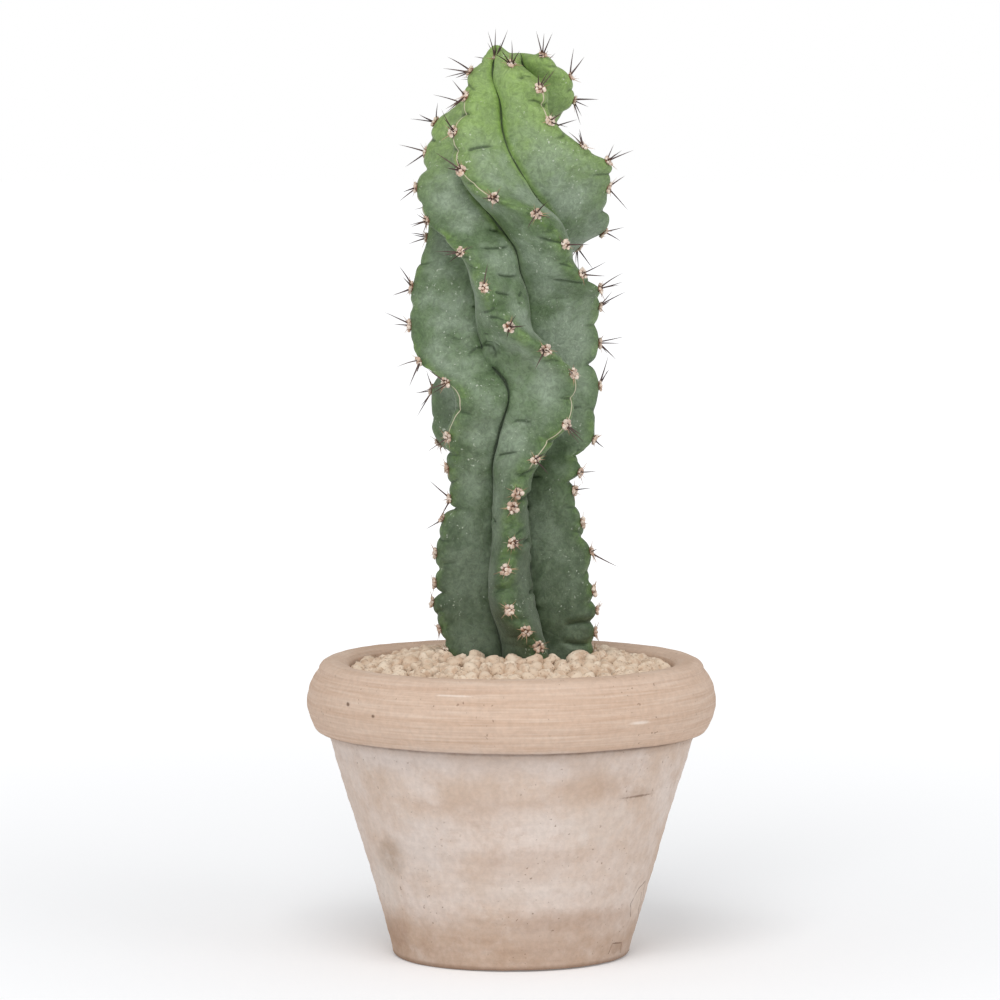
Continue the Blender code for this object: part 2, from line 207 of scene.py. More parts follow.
def ripples(points, size, seed, count=14):
    """Smooth bumps about as wide as size: the mean of sine waves in random directions.

    Each wave is sin(2 pi (direction . point) / length + phase), its length near 2 x size.
    """
    rng = np.random.default_rng(seed)
    directions = rng.normal(size=(count, 3))
    directions /= np.linalg.norm(directions, axis=1)[:, None]
    lengths = size * rng.uniform(1.3, 3.0, count)
    phases = rng.uniform(0, 2 * math.pi, count)
    swing = np.zeros(points.shape[:-1])
    for direction, length, phase in zip(directions, lengths, phases):
        swing += np.sin(2 * math.pi * (points @ direction) / length + phase)
    return swing / math.sqrt(count)


def smooth_step(value, start, end):
    """0 before start, 1 after end, and an even S between them: t x t x (3 - 2 t)."""
    t = np.clip((value - start) / (end - start), 0, 1)
    return t * t * (3 - 2 * t)


# %% [markdown]
# ## The cactus body
# A columnar cactus is a ring of ribs round a wet core. A cylinder with displaced ribs would
# blur the sharp grooves, and a sculpted blob would lose the order in it. So the body is a
# stack of sections: in each, five crests stand at an angle and a distance that change with
# height, and a curve runs from every crest down into the groove beside it. The crests pass
# through the areoles, the woolly pads that carry the spines, so one table places both.

# %% Where the ribs run
STEM_HEIGHT = 0.3035
RIB_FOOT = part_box("stem")[1].z - STEM_HEIGHT
ROOT_DEPTH = RIB_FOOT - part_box("stem")[0].z
ROOT_RADIUS = 21.0 * MM
ROOT_MORPH = 10.0 * MM
GROOVE_SHARE = 0.42
CREST_WIDTH = 7.0 * MM
FLANK_REACH = 0.45
NOTCH_FADE = 8.0 * MM
STEM_REACH = 48.0
TABLE_HEIGHT = 303.5

# Height above the ribs' foot, angle from the front towards +X, distance from the stem's line,
# and depth of the notch above.
RIBS = (
    ((9, -72, 35, 0.6), (20, -80, 36.6, 0.9), (33, -84, 39.3, 4), (42, -84, 37.9, 1.9),
     (57, -82, 38, 0.3), (74, -80, 34.6, 4.9), (84, -76, 31.7, 0), (99, -72, 33.9, 1.2),
     (115, -58, 37.3, 2), (142, -44, 42.7, 0.6), (151, -72, 44.6, 0), (168, -86, 46, 1.3),
     (186, -92, 45.4, 0), (210, -104, 41.1, 0), (226, -122, 43.9, 2.7), (241, -156, 43.6, 2.7),
     (256, -178, 41, 2.5), (270, -190, 35, 2.3), (283, -202, 30, 2), (294, -214, 20, 0)),
    ((14, 20, 34.5, 1.8), (23, 8, 38, 1.8), (33, -3, 39, 3.4), (52, -5, 37, 2.3),
     (65, 0, 35, 3.1), (82, 0, 33, 1.3), (89, 3, 33, 2.9), (105, 16, 36, 3.1),
     (122, 40, 40, 3.6), (146, 47, 43.1, 2.2), (158, 25, 45.1, 2), (169, 3, 45, 3.4),
     (188, -13, 45, 3.1), (205, -31, 44, 2.5), (219, -68, 43.4, 0.6), (235, -84, 46.2, 3.7),
     (252, -102, 43.4, 1.6), (266, -106, 39.4, 0), (276, -118, 29.7, 4.5),
     (287, -134, 20.8, 1.6), (296, -146, 18.4, 0)),
    ((8, 84, 39.2, 1.1), (18, 84, 39, 2.7), (29, 84, 40.1, 2.2), (38, 84, 38.9, 2.2),
     (58, 84, 38.1, 2.5), (72, 80, 34.6, 0.1), (88, 70, 31, 4.3), (97, 68, 34.2, 7.2),
     (113, 86, 38.8, 1.1), (138, 96, 43.6, 5.1), (159, 96, 45.4, 2.1), (177, 90, 46.4, 1.4),
     (186, 76, 47.4, 2.9), (194, 54, 44.6, 2.7), (208, 38, 44.2, 2.7), (223, 16, 44, 1.4),
     (231, -12, 43, 2.3), (244, -38, 41, 3.2), (262, -55, 35.6, 3.1), (279, -56, 28.9, 0.6),
     (291, -78, 22.7, 2.1), (299, -96, 15.5, 0)),
    ((9, 150, 33, 2.2), (21, 150, 38, 2.3), (34, 148, 39, 2.3), (47, 147, 38, 2.3),
     (60, 146, 37, 2.5), (74, 143, 35, 2.5), (88, 138, 32.9, 2.3), (101, 140, 35.2, 2.7),
     (116, 150, 40, 3.6), (136, 162, 43, 3.6), (156, 161, 44, 3.6), (176, 152, 45.7, 2.7),
     (191, 144, 39, 6), (205, 119, 38.5, 0), (213, 106, 47.2, 3.5), (235, 84, 46.6, 0.2),
     (248, 72, 47.4, 2.6), (255, 60, 38.5, 0), (267, 38, 27.6, 2.9), (283, 24, 27, 2.7),
     (298, -13, 15, 0)),
    ((8, 216, 33, 2.2), (20, 212, 38, 2.2), (32, 210, 39, 2.5), (46, 212, 38, 2.5),
     (60, 214, 37, 2.5), (74, 217, 35, 2.3), (87, 222, 33.2, 2), (98, 226, 29.4, 3),
     (109.5, 247, 39.5, 3), (135.5, 250, 39.9, 6), (156, 228, 39, 2.5), (170, 210, 45.8, 3.2),
     (188, 196, 46, 3.6), (208, 175, 46, 2.5), (222, 158, 46, 2.5), (236, 145, 45, 2.5),
     (250, 135, 38.2, 2.5), (264, 122, 23, 0), (277, 94, 28.2, 0.7), (288, 75, 26.6, 1),
     (299, 42, 17.1, 0)),
)
# Sideways lean of the stem's line: height above the ribs' foot, offset towards +X.
LEAN = ((0, 2.0), (60, 0.5), (110, 1.0), (150, -2.0), (180, -3.5), (210, -1.0),
        (240, 0.5), (270, 1.5), (303, 3.5))
# Grooves that leave the middle between their ribs, by the rib before them: height, share of
# the half gap, and groove radius over crest radius.
GROOVES = {0: ((0, 0, 0.42), (80, 0, 0.46), (105, -0.04, 0.60), (138, -0.17, 0.64),
               (152, -0.06, 0.56), (168, 0, 0.44), (303, 0, 0.42)),
           1: ((0, 0, 0.42), (185, 0, 0.42), (212, 0.1, 0.56), (235, 0, 0.54), (262, 0, 0.42),
               (303, 0, 0.42)),
           2: ((0, 0, 0.42), (190, 0, 0.42), (215, 0, 0.50), (232, -0.1, 0.48),
               (262, -0.33, 0.45), (285, -0.50, 0.58), (303, -0.65, 0.72))}
print("areoles:", sum(len(rib) for rib in RIBS))


# %% Curves along and across a rib
def smooth_curve(x, knots, values):
    """A cubic Hermite curve through the knots, with the neighbours' slope at each knot."""
    knots = np.asarray(knots, dtype=float)
    values = np.asarray(values, dtype=float)
    slopes = np.gradient(values, knots)
    x = np.clip(np.asarray(x, dtype=float), knots[0], knots[-1])
    cell = np.clip(np.searchsorted(knots, x, side="right") - 1, 0, len(knots) - 2)
    width = knots[cell + 1] - knots[cell]
    t = (x - knots[cell]) / width
    start = (1 + 2 * t) * (1 - t) ** 2
    leave = t * (1 - t) ** 2 * width
    arrive = t * t * (t - 1) * width
    return (start * values[cell] + leave * slopes[cell]
            + (1 - start) * values[cell + 1] + arrive * slopes[cell + 1])


def crest(rib, height):
    """Angle in radians, and distance and notch depth in metres, along a rib's crest.

    The notch between two areoles is depth x (1 - |2 t - 1|)^2 deep, which is sharp in the
    middle; past the last areole the distance draws in as a quarter of an ellipse.
    """
    knots, angles, reach, depths = (np.array(column, dtype=float) for column in zip(*RIBS[rib]))
    inside = np.clip(height, knots[0], knots[-1])
    angle = np.radians(smooth_curve(inside, knots, angles))
    distance = smooth_curve(inside, knots, reach)
    cell = np.clip(np.searchsorted(knots, inside, side="right") - 1, 0, len(knots) - 2)
    spacing = knots[cell + 1] - knots[cell]
    off_middle = np.abs(2 * (inside - knots[cell]) / spacing - 1)
    notch = depths[cell] * (1 - off_middle) ** 2
    above = np.clip((height - knots[-1]) / (TABLE_HEIGHT - knots[-1]), 0, 1)
    draw_in = np.sqrt(1 - above ** 2)
    return angle, distance * draw_in * MM, notch * draw_in * MM


def half_rib(tip, groove, half_gap, notch, steps):
    """A cubic Bezier from the crest's tip to the groove, as runs along and across the rib.

    It leaves the tip sideways, which rounds the crest, and meets the groove nearly along the
    radius, which makes a narrow crease between two ribs. The notch only cuts the crest: its
    depth fades as exp(-(distance / fade)^2) down the flank.
    """
    s = steps[:, None]
    weights = ((1 - s) ** 3, 3 * (1 - s) ** 2 * s, 3 * (1 - s) * s ** 2, s ** 3)
    width = CREST_WIDTH * np.minimum(1, tip / (0.5 * STEM_REACH * MM))
    end_along = groove * np.cos(half_gap)
    end_across = groove * np.sin(half_gap)
    run = FLANK_REACH * (tip - groove)
    along = (tip, tip, end_along + run * np.cos(0.3 * half_gap), end_along)
    across = (0 * tip, width, end_across + run * np.sin(0.3 * half_gap), end_across)
    along = sum(w * a for w, a in zip(weights, along))
    across = sum(w * a for w, a in zip(weights, across))
    away = np.hypot(tip - along, across)
    return along - notch * np.exp(-(away / NOTCH_FADE) ** 2), across


def even_steps(count):
    """Curve parameters that space a typical half rib's points evenly, closer at both ends."""
    fine = np.linspace(0, 1, 400)
    one = np.ones(1) * MM
    along, across = half_rib(42 * one, 17.6 * one, 0.63, 0 * one, fine)
    length = np.concatenate([[0], np.cumsum(np.hypot(np.diff(along[:, 0]),
                                                     np.diff(across[:, 0])))])
    even = np.linspace(0, 1, count + 1)
    share = 0.5 * even + 0.5 * (0.5 - 0.5 * np.cos(math.pi * even))
    return np.interp(share, length / length[-1], fine)


def stem_sections(heights, steps):
    """Points of the smooth body, rows by columns by xyz.

    Columns go round through every rib: from its crest to the groove and up the next rib's
    near side.
    """
    table = np.clip(heights / STEM_HEIGHT, 0, 1) * TABLE_HEIGHT
    crests = [crest(rib, table) for rib in range(len(RIBS))]
    last = len(steps) - 1
    columns = []
    for rib, (angle, tip, notch) in enumerate(crests):
        next_angle, next_tip, next_notch = crests[(rib + 1) % len(RIBS)]
        if rib == len(RIBS) - 1:
            next_angle = next_angle + 2 * math.pi
        half_gap = 0.5 * (next_angle - angle)
        knots, aside, share = zip(*GROOVES.get(rib, ((0, 0, GROOVE_SHARE), (300, 0, GROOVE_SHARE))))
        shift = half_gap * smooth_curve(table, knots, aside)
        groove = smooth_curve(table, knots, share) * 0.5 * (tip + next_tip)
        along, across = half_rib(tip, groove, half_gap + shift, notch, steps)
        columns += [(angle, along[i], across[i]) for i in range(last)]
        along, across = half_rib(next_tip, groove, half_gap - shift, next_notch, steps)
        columns += [(next_angle, along[i], -across[i]) for i in range(last, 0, -1)]
    angle, along, across = (np.array(part).T for part in zip(*columns))
    x = along * np.sin(angle) + across * np.cos(angle)
    y = across * np.sin(angle) - along * np.cos(angle)
    x, y = round_root(x, y, heights[:, None])
    x = x + smooth_curve(table, *zip(*LEAN))[:, None] * MM
    z = np.repeat((heights + RIB_FOOT)[:, None], x.shape[1], axis=1)
    return np.stack([x, y, z], axis=2)


def round_root(x, y, heights):
    """Below their foot the ribs fade into a circle, drawn in at its own foot."""
    share = smooth_step(-heights, 0, ROOT_MORPH)
    taper = np.clip((-heights - ROOT_MORPH) / (ROOT_DEPTH - ROOT_MORPH), 0, 1)
    radius = ROOT_RADIUS * (1 - 0.3 * taper ** 2)
    around = np.arctan2(y, x)
    return (x + (radius * np.cos(around) - x) * share,
            y + (radius * np.sin(around) - y) * share)


# %% [markdown]
# The skin is not smooth. Where the plant grew in steps, creases run in from the notches
# across the flanks, with a soft swelling beside each, and more lie at seeded places. Three
# swellings and a hollow sit near the grooves, and the flesh is slightly uneven everywhere.
# Each is a height added along the surface normal.
# A place on the skin is given as its turn, counted in half ribs (0 is the first crest, 1 the
# groove after it, 2 the next crest), and its height.

# %% Relief of the skin
CREASE_LOWEST = 14.0
CREASE_HIGHEST = 262.0
CREASE_STEP = 4.2
# Least and most of a crease's turn, width in turns, rise, bow and depth.
CREASE_LEAST = (0.1, 0.25, -3.0, -1.5, 0.5)
CREASE_MOST = (4.6, 0.5, 3.0, 1.5, 1.7)
crease_draws = np.random.default_rng(47)
# From the deep end to the shallow one: turn and height, twice, then bow and depth in mm.
CREASES = tuple(
    (spot, level, spot + width, level + rise, bow, depth)
    for level in np.arange(CREASE_LOWEST, CREASE_HIGHEST, CREASE_STEP)
    for spot, width, rise, bow, depth in [crease_draws.uniform(CREASE_LEAST, CREASE_MOST)])
# Swellings, and a hollow with a negative lift: turn, height, half width, half height, lift.
BLISTERS = ((2.54, 177.6, 3.2, 8.0, 1.6), (0.88, 152.2, 7.5, 7.0, 2.0),
            (1.42, 163.6, 3.0, 2.2, 1.0), (1.30, 157.5, 7.0, 4.0, -1.8))
GROOVE_CUT = 1.0
GROOVE_WIDTH = 0.55


def crease_marks(turn, height, crease):
    """Relief of one crease, and the painted shade in it, at every point.

    Across it the height is -depth x exp(-|d| / 0.95) plus a soft lip on both sides, where d is
    the height above its bowed line; along it the depth falls off to its far end. The painted
    shade in a crease is never darker than the crease's depth allows.
    """
    turn0, height0, turn1, height1, bow, depth = crease
    span = turn1 - turn0
    share = ((turn - turn0 + 5) % 10 - 5) / span
    line = height0 + (height1 - height0) * share + 4 * bow * share * (1 - share)
    off = height - line
    taper = smooth_step(share, -0.08, 0.06) * (1 - smooth_step(share, 0.55, 1.10))
    cut = -depth * np.exp(-np.abs(off) / 0.95)
    lips = 0.38 * depth * np.exp(-((np.abs(off) - 3.2) / 2.2) ** 2)
    return (cut + lips) * taper, np.exp(-(off / 0.80) ** 2) * taper * min(1.0, depth / 1.0)


def notch_creases():
    """A crease each way from every notch that has no crease near it yet."""
    rng = np.random.default_rng(5)
    made = []
    for rib, areoles in enumerate(RIBS):
        knots = np.array([row[0] for row in areoles], dtype=float)
        for low, high in zip(knots[:-1], knots[1:]):
            for side in (-1, 1):
                height = 0.5 * (low + high)
                facing = math.cos(float(crest(rib, height)[0]) + side * 0.5)
                longest = 0.45 if facing > 0.1 else 0.95
                length, slant, bow = rng.uniform((0.25, -4, -1.5), (longest, 3, 1.5))
                depth = rng.uniform(0.5, longest + 0.5) * min(1.0, (high - low) / 14)
                taken = any(abs((spot - 2 * rib + 5) % 10 - 5) < 1.0 and abs(level - height) < 7
                            and (other - spot) * side > 0
                            for spot, level, other, *_ in CREASES)
                if not taken:
                    made.append((2.0 * rib, height, 2 * rib + side * length, height + slant,
                                 bow, depth))
    return tuple(made)


def skin_relief(points, turn, heights, to_groove):
    """Height to add along the normal, in mm, and the painted shade of creases and swelling tops."""
    relief = np.zeros(points.shape[:2])
    crease_shade = np.zeros(points.shape[:2])
    # Each crease adds relief, and painted shade along its line.
    for crease in CREASES + notch_creases():
        made, mark = crease_marks(turn[None], heights[:, None], crease)
        relief += made
        crease_shade = np.maximum(crease_shade, mark)
    for middle, height, half_width, half_height, lift in BLISTERS:
        column = int(round(middle / 10 * points.shape[1])) % points.shape[1]
        row = int(np.abs(heights - height).argmin())
        gap = (points - points[row, column]) / MM
        away = np.sqrt((gap[..., 0] ** 2 + gap[..., 1] ** 2) / half_width ** 2
                       + (gap[..., 2] / half_height) ** 2)
        relief += lift * (1 - smooth_step(away, 0.5, 1.0))
        # Painted shade: a dark line along the upper edge of each swelling and of the hollow.
        upper = smooth_step(gap[..., 2] / half_height, -0.1, 0.5)
        crease_shade = np.maximum(crease_shade, upper * np.exp(-((away - 1.0) / 0.12) ** 2))
    relief -= GROOVE_CUT * np.exp(-to_groove / GROOVE_WIDTH)
    relief += 0.35 * ripples(points, 9 * MM, 21) + 0.12 * ripples(points, 3.5 * MM, 22)
    return relief, crease_shade


def grid_normals(points):
    """Outward unit normals of a closed-ring grid: column step crossed with row step."""
    around = np.roll(points, -1, axis=1) - np.roll(points, 1, axis=1)
    up = np.gradient(points, axis=0)
    normal = np.cross(around, up)
    return normal / np.maximum(np.linalg.norm(normal, axis=2), 1e-12)[..., None]


def run_between(points):
    """Distance in mm along each section from the nearest crest and from the nearest groove."""
    step = np.linalg.norm(np.roll(points, -1, axis=1) - points, axis=2) / MM
    cells = step.reshape(len(points), -1, HALF_POINTS)
    forward = np.concatenate([np.zeros_like(cells[..., :1]), np.cumsum(cells, axis=2)], axis=2)
    whole = forward[..., -1:]
    from_start = forward[..., :-1].reshape(len(points), -1)
    from_end = (whole - forward[..., :-1]).reshape(len(points), -1)
    crest_first = (np.arange(points.shape[1]) // HALF_POINTS) % 2 == 0
    return (np.where(crest_first, from_start, from_end),
            np.where(crest_first, from_end, from_start))


# Corky keel lines along a crest: rib, lowest and highest height.
KEELS = ((0, 113, 139), (0, 226, 300), (1, 103, 144), (1, 220, 262), (2, 232, 276),
         (3, 268, 284), (3, 118, 150), (4, 130, 168), (4, 245, 265))


def keel_marks():
    """How much of a keel line runs through each point's crest, from 0 to 1."""
    marks = np.zeros(body.shape[:2])
    for rib, low, high in KEELS:
        first = (2 * rib - 1) * HALF_POINTS
        strip = np.arange(first, first + 2 * HALF_POINTS) % body.shape[1]
        along = smooth_step(table_heights, low - 3, low + 1)
        along = along * (1 - smooth_step(table_heights, high - 1, high + 3))
        marks[:, strip] = np.maximum(marks[:, strip], along[:, None])
    return marks


# %% Build the cactus body
HALF_POINTS = 20
DOME = 20.0
DIMPLE = 2.5
CROWN_SINK = 3.6
BUMP_RISE = 3.6
BUMP_WIDTH = 3.6
BUMP_PLACE = (-8.5, -4.0)

below = np.linspace(-ROOT_DEPTH, -2 * MM, 10)
visible = np.linspace(0, STEM_HEIGHT - DOME * MM, 438)
dome = STEM_HEIGHT - DOME * MM * (1 - np.sin(np.linspace(0, math.pi / 2, 42)[1:-1]))
heights = np.concatenate([below, visible, dome])
body = stem_sections(heights, even_steps(HALF_POINTS))
table_heights = heights / STEM_HEIGHT * TABLE_HEIGHT
turn = np.arange(body.shape[1]) / HALF_POINTS
to_crest, to_groove = run_between(body)
relief, crease_shade = skin_relief(body, turn, table_heights, to_groove)
fade = smooth_step(table_heights, -2, 4) * (1 - smooth_step(table_heights, 296, 302))
body = body + grid_normals(body) * (relief * fade[:, None] * MM)[..., None]

# The crown is not level: it sinks right of the middle, and a young bump stands at its left.
crown = smooth_step(table_heights, 286, 300)[:, None]
right = body[..., 0] / MM
sink = CROWN_SINK * smooth_step(right, -6.0, 0.0) * (1 - smooth_step(right, 10.5, 16.0))
from_bump = (right - BUMP_PLACE[0]) ** 2 + (body[..., 1] / MM - BUMP_PLACE[1]) ** 2
bump = BUMP_RISE * np.exp(-from_bump / BUMP_WIDTH ** 2)
body[..., 2] += (bump - sink) * crown * MM

# The tip sinks into a small dimple: rings that shrink to the middle of the last section.
last = body[-1]
centre = last.mean(axis=0)
inward = np.array([0.75, 0.5, 0.25])[:, None, None]
rings = centre + (last - centre) * inward
rings[..., 2] = last[:, 2].mean() - DIMPLE * MM * (1 - inward[..., 0] ** 2)
grid = np.concatenate([body, rings])
rows, columns = grid.shape[:2]
tip = centre - (0, 0, DIMPLE * MM)
foot = body[0].mean(axis=0)
points = np.concatenate([grid.reshape(-1, 3), tip[None], foot[None]])
around = np.arange(columns)
beside = (around + 1) % columns
top_row = (rows - 1) * columns
top_fan = np.stack([top_row + around, top_row + beside, np.full(columns, len(points) - 2)], 1)
foot_fan = np.stack([beside, around, np.full(columns, len(points) - 1)], 1)


def per_point(rows_by_columns):
    """Extend a grid of values over the tip's rings, the tip and the foot."""
    over = np.repeat(rows_by_columns[-1:], len(rings), axis=0)
    values = np.concatenate([rows_by_columns, over])
    return np.concatenate([values.ravel(), [values[-1].mean(), values[0].mean()]])


# The crease attribute holds painted shade for the creases and the swellings' upper edges.
attributes = {"to_crest": per_point(to_crest), "to_groove": per_point(to_groove),
              "crease_shade": per_point(crease_shade), "keel": per_point(keel_marks())}
stem = make_piece("cactus_body", points, ring_quads(rows, columns),
                  np.concatenate([top_fan, foot_fan]), attributes)
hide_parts("stem")
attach(stem, "root")

# %% [markdown]
# ## Cactus skin
# The skin is a waxy, satin epidermis over green tissue, and its wax scatters light as a grey
# bloom that is thick on the flanks and rubbed off the crests. The colour is mixed from the
# height (dark old tissue below, yellow-green growth on top), the place on the flank, cloudy
# noise for the bloom, and small pale scars. Keel lines come from attributes, and so does the
# painted shade in the grooves, in the creases and along the upper edges of swellings.

# %% Cactus skin material
BLOOM_PATCH = 12.0      # mm across one cloud of wax
SPECK = 0.8             # mm across a small scar


def attribute(tree, name):
    """The value of a mesh attribute."""
    return add_node(tree, "ShaderNodeAttribute", attribute_name=name).outputs["Fac"]


def mix(tree, share, first, second, blend="MIX"):
    """Mix two colours; each may be a hex text or a socket."""
    made = add_node(tree, "ShaderNodeMix", data_type="RGBA", blend_type=blend)
    for index, value in ((0, share), (6, first), (7, second)):
        if isinstance(value, str):
            value = linear(value)
        if isinstance(value, bpy.types.NodeSocket):
            tree.links.new(value, made.inputs[index])
        else:
            made.inputs[index].default_value = value
    return made.outputs[2]


def ramp(tree, value, low, high, start=0.0, end=1.0):
    """Map a value smoothly from low..high to start..end, clamped."""
    made = add_node(tree, "ShaderNodeMapRange", {"Value": value, "From Min": low,
                    "From Max": high, "To Min": start, "To Max": end},
                    interpolation_type="SMOOTHSTEP")
    return made.outputs["Result"]


def noise(tree, vector, size_mm, detail=3.0, roughness=0.55):
    """Noise whose features are about size_mm across."""
    made = add_node(tree, "ShaderNodeTexNoise", {"Vector": vector, "Scale": 1000 / size_mm / 2,
                    "Detail": detail, "Roughness": roughness})
    return made.outputs["Fac"]


def math_node(tree, operation, first, second):
    """One arithmetic step on two numbers or sockets."""
    return add_node(tree, "ShaderNodeMath", {0: first, 1: second}, operation=operation).outputs[0]


def times(tree, first, second):
    """The product of two numbers or sockets."""
    return math_node(tree, "MULTIPLY", first, second)


def roughen(tree, shader, height, strength, depth):
    """Drive the shader's normal by a bump of the given height, strength and depth."""
    bump = add_node(tree, "ShaderNodeBump", {"Strength": strength, "Distance": depth,
                                             "Height": height})
    tree.links.new(bump.outputs[0], shader.inputs["Normal"])


def cactus_skin():
    """Waxy epidermis of a columnar cactus: satin, grey-green bloom, pale scars."""
    material, tree, shader = new_material("waxy_cactus_skin")
    place = add_node(tree, "ShaderNodeTexCoord").outputs["Object"]
    height = add_node(tree, "ShaderNodeSeparateXYZ", {0: place}).outputs["Z"]
    to_crest, to_groove = attribute(tree, "to_crest"), attribute(tree, "to_groove")
    crease_shade, keel = attribute(tree, "crease_shade"), attribute(tree, "keel")
    cloud = noise(tree, place, BLOOM_PATCH, 4.0, 0.6)
    fine = noise(tree, place, 2.0, 3.0, 0.6)

    # Green tissue: dark and old below, grass green at the crests, yellow-green and young above.
    colour = mix(tree, ramp(tree, height, 0.17, 0.30), "#35462a", "#4b6438")
    crest_near = ramp(tree, math_node(tree, "ADD", to_crest, math_node(
        tree, "MULTIPLY", cloud, 8.0)), 12.0, 4.0)
    colour = mix(tree, times(tree, crest_near, 0.5), colour, "#4a672f")
    colour = mix(tree, ramp(tree, height, 0.350, 0.420), colour, "#84a056")

    # Old skin is blotched: leaf green beside the crests, darker in patches all over.
    patch = noise(tree, place, 5.5, 4.0, 0.65)
    fresh = times(tree, ramp(tree, patch, 0.46, 0.64, 0.0, 0.55),
                  ramp(tree, to_crest, 10.0, 1.5))
    fresh = times(tree, fresh, ramp(tree, height, 0.16, 0.27, 0.45, 1.0))
    colour = mix(tree, fresh, colour, "#6c8a3c")
    # Grey wax on the flanks, thickest half way up.
    wax = times(tree, ramp(tree, cloud, 0.36, 0.60, 0.25, 1.0),
                ramp(tree, to_crest, 2.0, 15.0, 0.2, 1.0))
    wax = times(tree, wax, ramp(tree, height, 0.16, 0.30, 0.31, 0.86))
    wax = times(tree, wax, ramp(tree, height, 0.365, 0.425, 1.0, 0.25))
    colour = mix(tree, wax, colour, "#8b9a86")
    colour = mix(tree, ramp(tree, fine, 0.35, 0.75, 0.0, 0.16), colour, "#95a488")

    # Bright young skin beside the upper grooves, and painted shade in the grooves and creases.
    beside = times(tree, ramp(tree, to_groove, 5.0, 1.0),
                   ramp(tree, height, 0.31, 0.39, 0.0, 0.55))
    colour = mix(tree, beside, colour, "#86a84a")
    colour = mix(tree, ramp(tree, crease_shade, 0.15, 0.9, 0.0, 0.75), colour, "#2b3d22")
    colour = mix(tree, ramp(tree, to_groove, 0.80, 0.12, 0.0, 0.9), colour, "#22301b")
    colour = mix(tree, ramp(tree, patch, 0.50, 0.34, 0.0, 0.28), colour, "#374b2d")
    speck = times(tree, ramp(tree, noise(tree, place, SPECK, 2.0), 0.64, 0.72),
                  ramp(tree, noise(tree, place, 9.0), 0.46, 0.62))
    colour = mix(tree, times(tree, speck, 0.7), colour, "#c9d1bf")
    scuffs = add_node(tree, "ShaderNodeTexNoise", {"Vector": place, "Scale": 1000 / 1.7 / 2,
                      "Detail": 5.0, "Roughness": 0.75, "Distortion": 1.6}).outputs["Fac"]
    colour = add_node(tree, "ShaderNodeHueSaturation", {
        "Color": colour, "Value": ramp(tree, scuffs, 0.30, 0.70, 0.76, 1.26)}).outputs[0]
    corky = times(tree, keel, ramp(tree, to_crest, 0.42, 0.15))
    colour = mix(tree, corky, colour, "#c9bfa6")
    tree.links.new(colour, shader.inputs["Base Color"])
    tree.links.new(ramp(tree, cloud, 0.3, 0.7, 0.42, 0.60), shader.inputs["Roughness"])
    shader.inputs["Specular IOR Level"].default_value = 0.45
    shader.inputs["IOR"].default_value = 1.45
    shader.inputs["Sheen Weight"].default_value = 0.10
    shader.inputs["Sheen Roughness"].default_value = 0.4
    grain = math_node(tree, "ADD", scuffs, times(tree, fine, 0.8))
    roughen(tree, shader, grain, 0.45, 0.0008)
    return material


stem.data.materials.append(cactus_skin())

# %% [markdown]
# ## Areoles: wool pads
# A cactus grows its spines from areoles, small pads of dense wool on the crests. At arm's
# length a pad is a lumpy cream cushion with a frayed outline. One squashed sphere per pad
# gives the cushion, and a few dozen short curled hairs give the frayed edge; a particle
# system would do the same but would not travel with the model.

# %% Where the areoles sit
YOUNG = sum(len(rib) for rib in RIBS[:3]) - 1       # the last areole of the third rib


def unit(vectors):
    """Each vector over its own length."""
    return vectors / np.maximum(np.linalg.norm(vectors, axis=-1, keepdims=True), 1e-12)


def areole_frames():
    """Place, outward normal and upward tangent of each areole, and its height."""
    places, normals, ups, levels = [], [], [], []
    for rib, areoles in enumerate(RIBS):
        column = rib * 2 * HALF_POINTS
        for height, *_ in areoles:
            row = int(np.abs(table_heights - height).argmin())
            above, under = min(row + 9, len(body) - 1), max(row - 9, 0)
            side = body[row, (column + 5) % columns] - body[row, (column - 5) % columns]
            up = unit(body[above, column] - body[under, column])
            normal = unit(np.cross(side, up))
            places.append(body[row, column])
            normals.append(normal)
            ups.append(unit(up - normal * (up @ normal)))
            levels.append(height)
    return (np.array(part) for part in (places, normals, ups, levels))


pads, outward, upward, levels = areole_frames()
crown_place = np.array([-8.5, -5.0]) * MM
near = np.linalg.norm(body[-40:, :, :2] - crown_place, axis=2)
pads[YOUNG] = body[-40:].reshape(-1, 3)[near.argmin()]
outward[YOUNG] = unit(np.array([-0.25, -0.45, 0.9]))
upward[YOUNG] = unit(np.cross(outward[YOUNG], (1.0, 0.0, 0.0)))
sideways = np.cross(upward, outward)
print("areoles from", pads[:, 2].min().round(3), "to", pads[:, 2].max().round(3), "m")


# %% Small closed shapes
def cube_sphere(cells):
    """Unit sphere from a cube whose faces have cells x cells quads: points and quads.

    A point (u, v) on a face goes to the sphere along its own direction after tan spreading,
    so the quads stay about equal.
    """
    line = np.tan(np.linspace(-1, 1, cells + 1) * math.pi / 4)
    u, v = np.meshgrid(line, line, indexing="ij")
    one = np.ones_like(u)
    faces = [(one, u, v), (-one, v, u), (v, one, u), (u, -one, v), (u, v, one), (v, u, -one)]
    points = unit(np.stack([np.stack(face, axis=-1) for face in faces]).reshape(-1, 3))
    cell = np.arange(cells)
    first = (cell[:, None] * (cells + 1) + cell[None, :]).ravel()
    quad = np.stack([first, first + cells + 1, first + cells + 2, first + 1], axis=1)
    quads = (quad[None] + (np.arange(6) * (cells + 1) ** 2)[:, None, None]).reshape(-1, 4)
    _, index, inverse = np.unique(points.round(6), axis=0, return_index=True,
                                  return_inverse=True)
    return points[index], inverse.reshape(-1)[quads]


def repeat_faces(faces, copies, points_each):
    """The same faces for many copies of a shape, each on its own points."""
    return (faces[None] + (np.arange(copies) * points_each)[:, None, None]).reshape(
        -1, faces.shape[1])


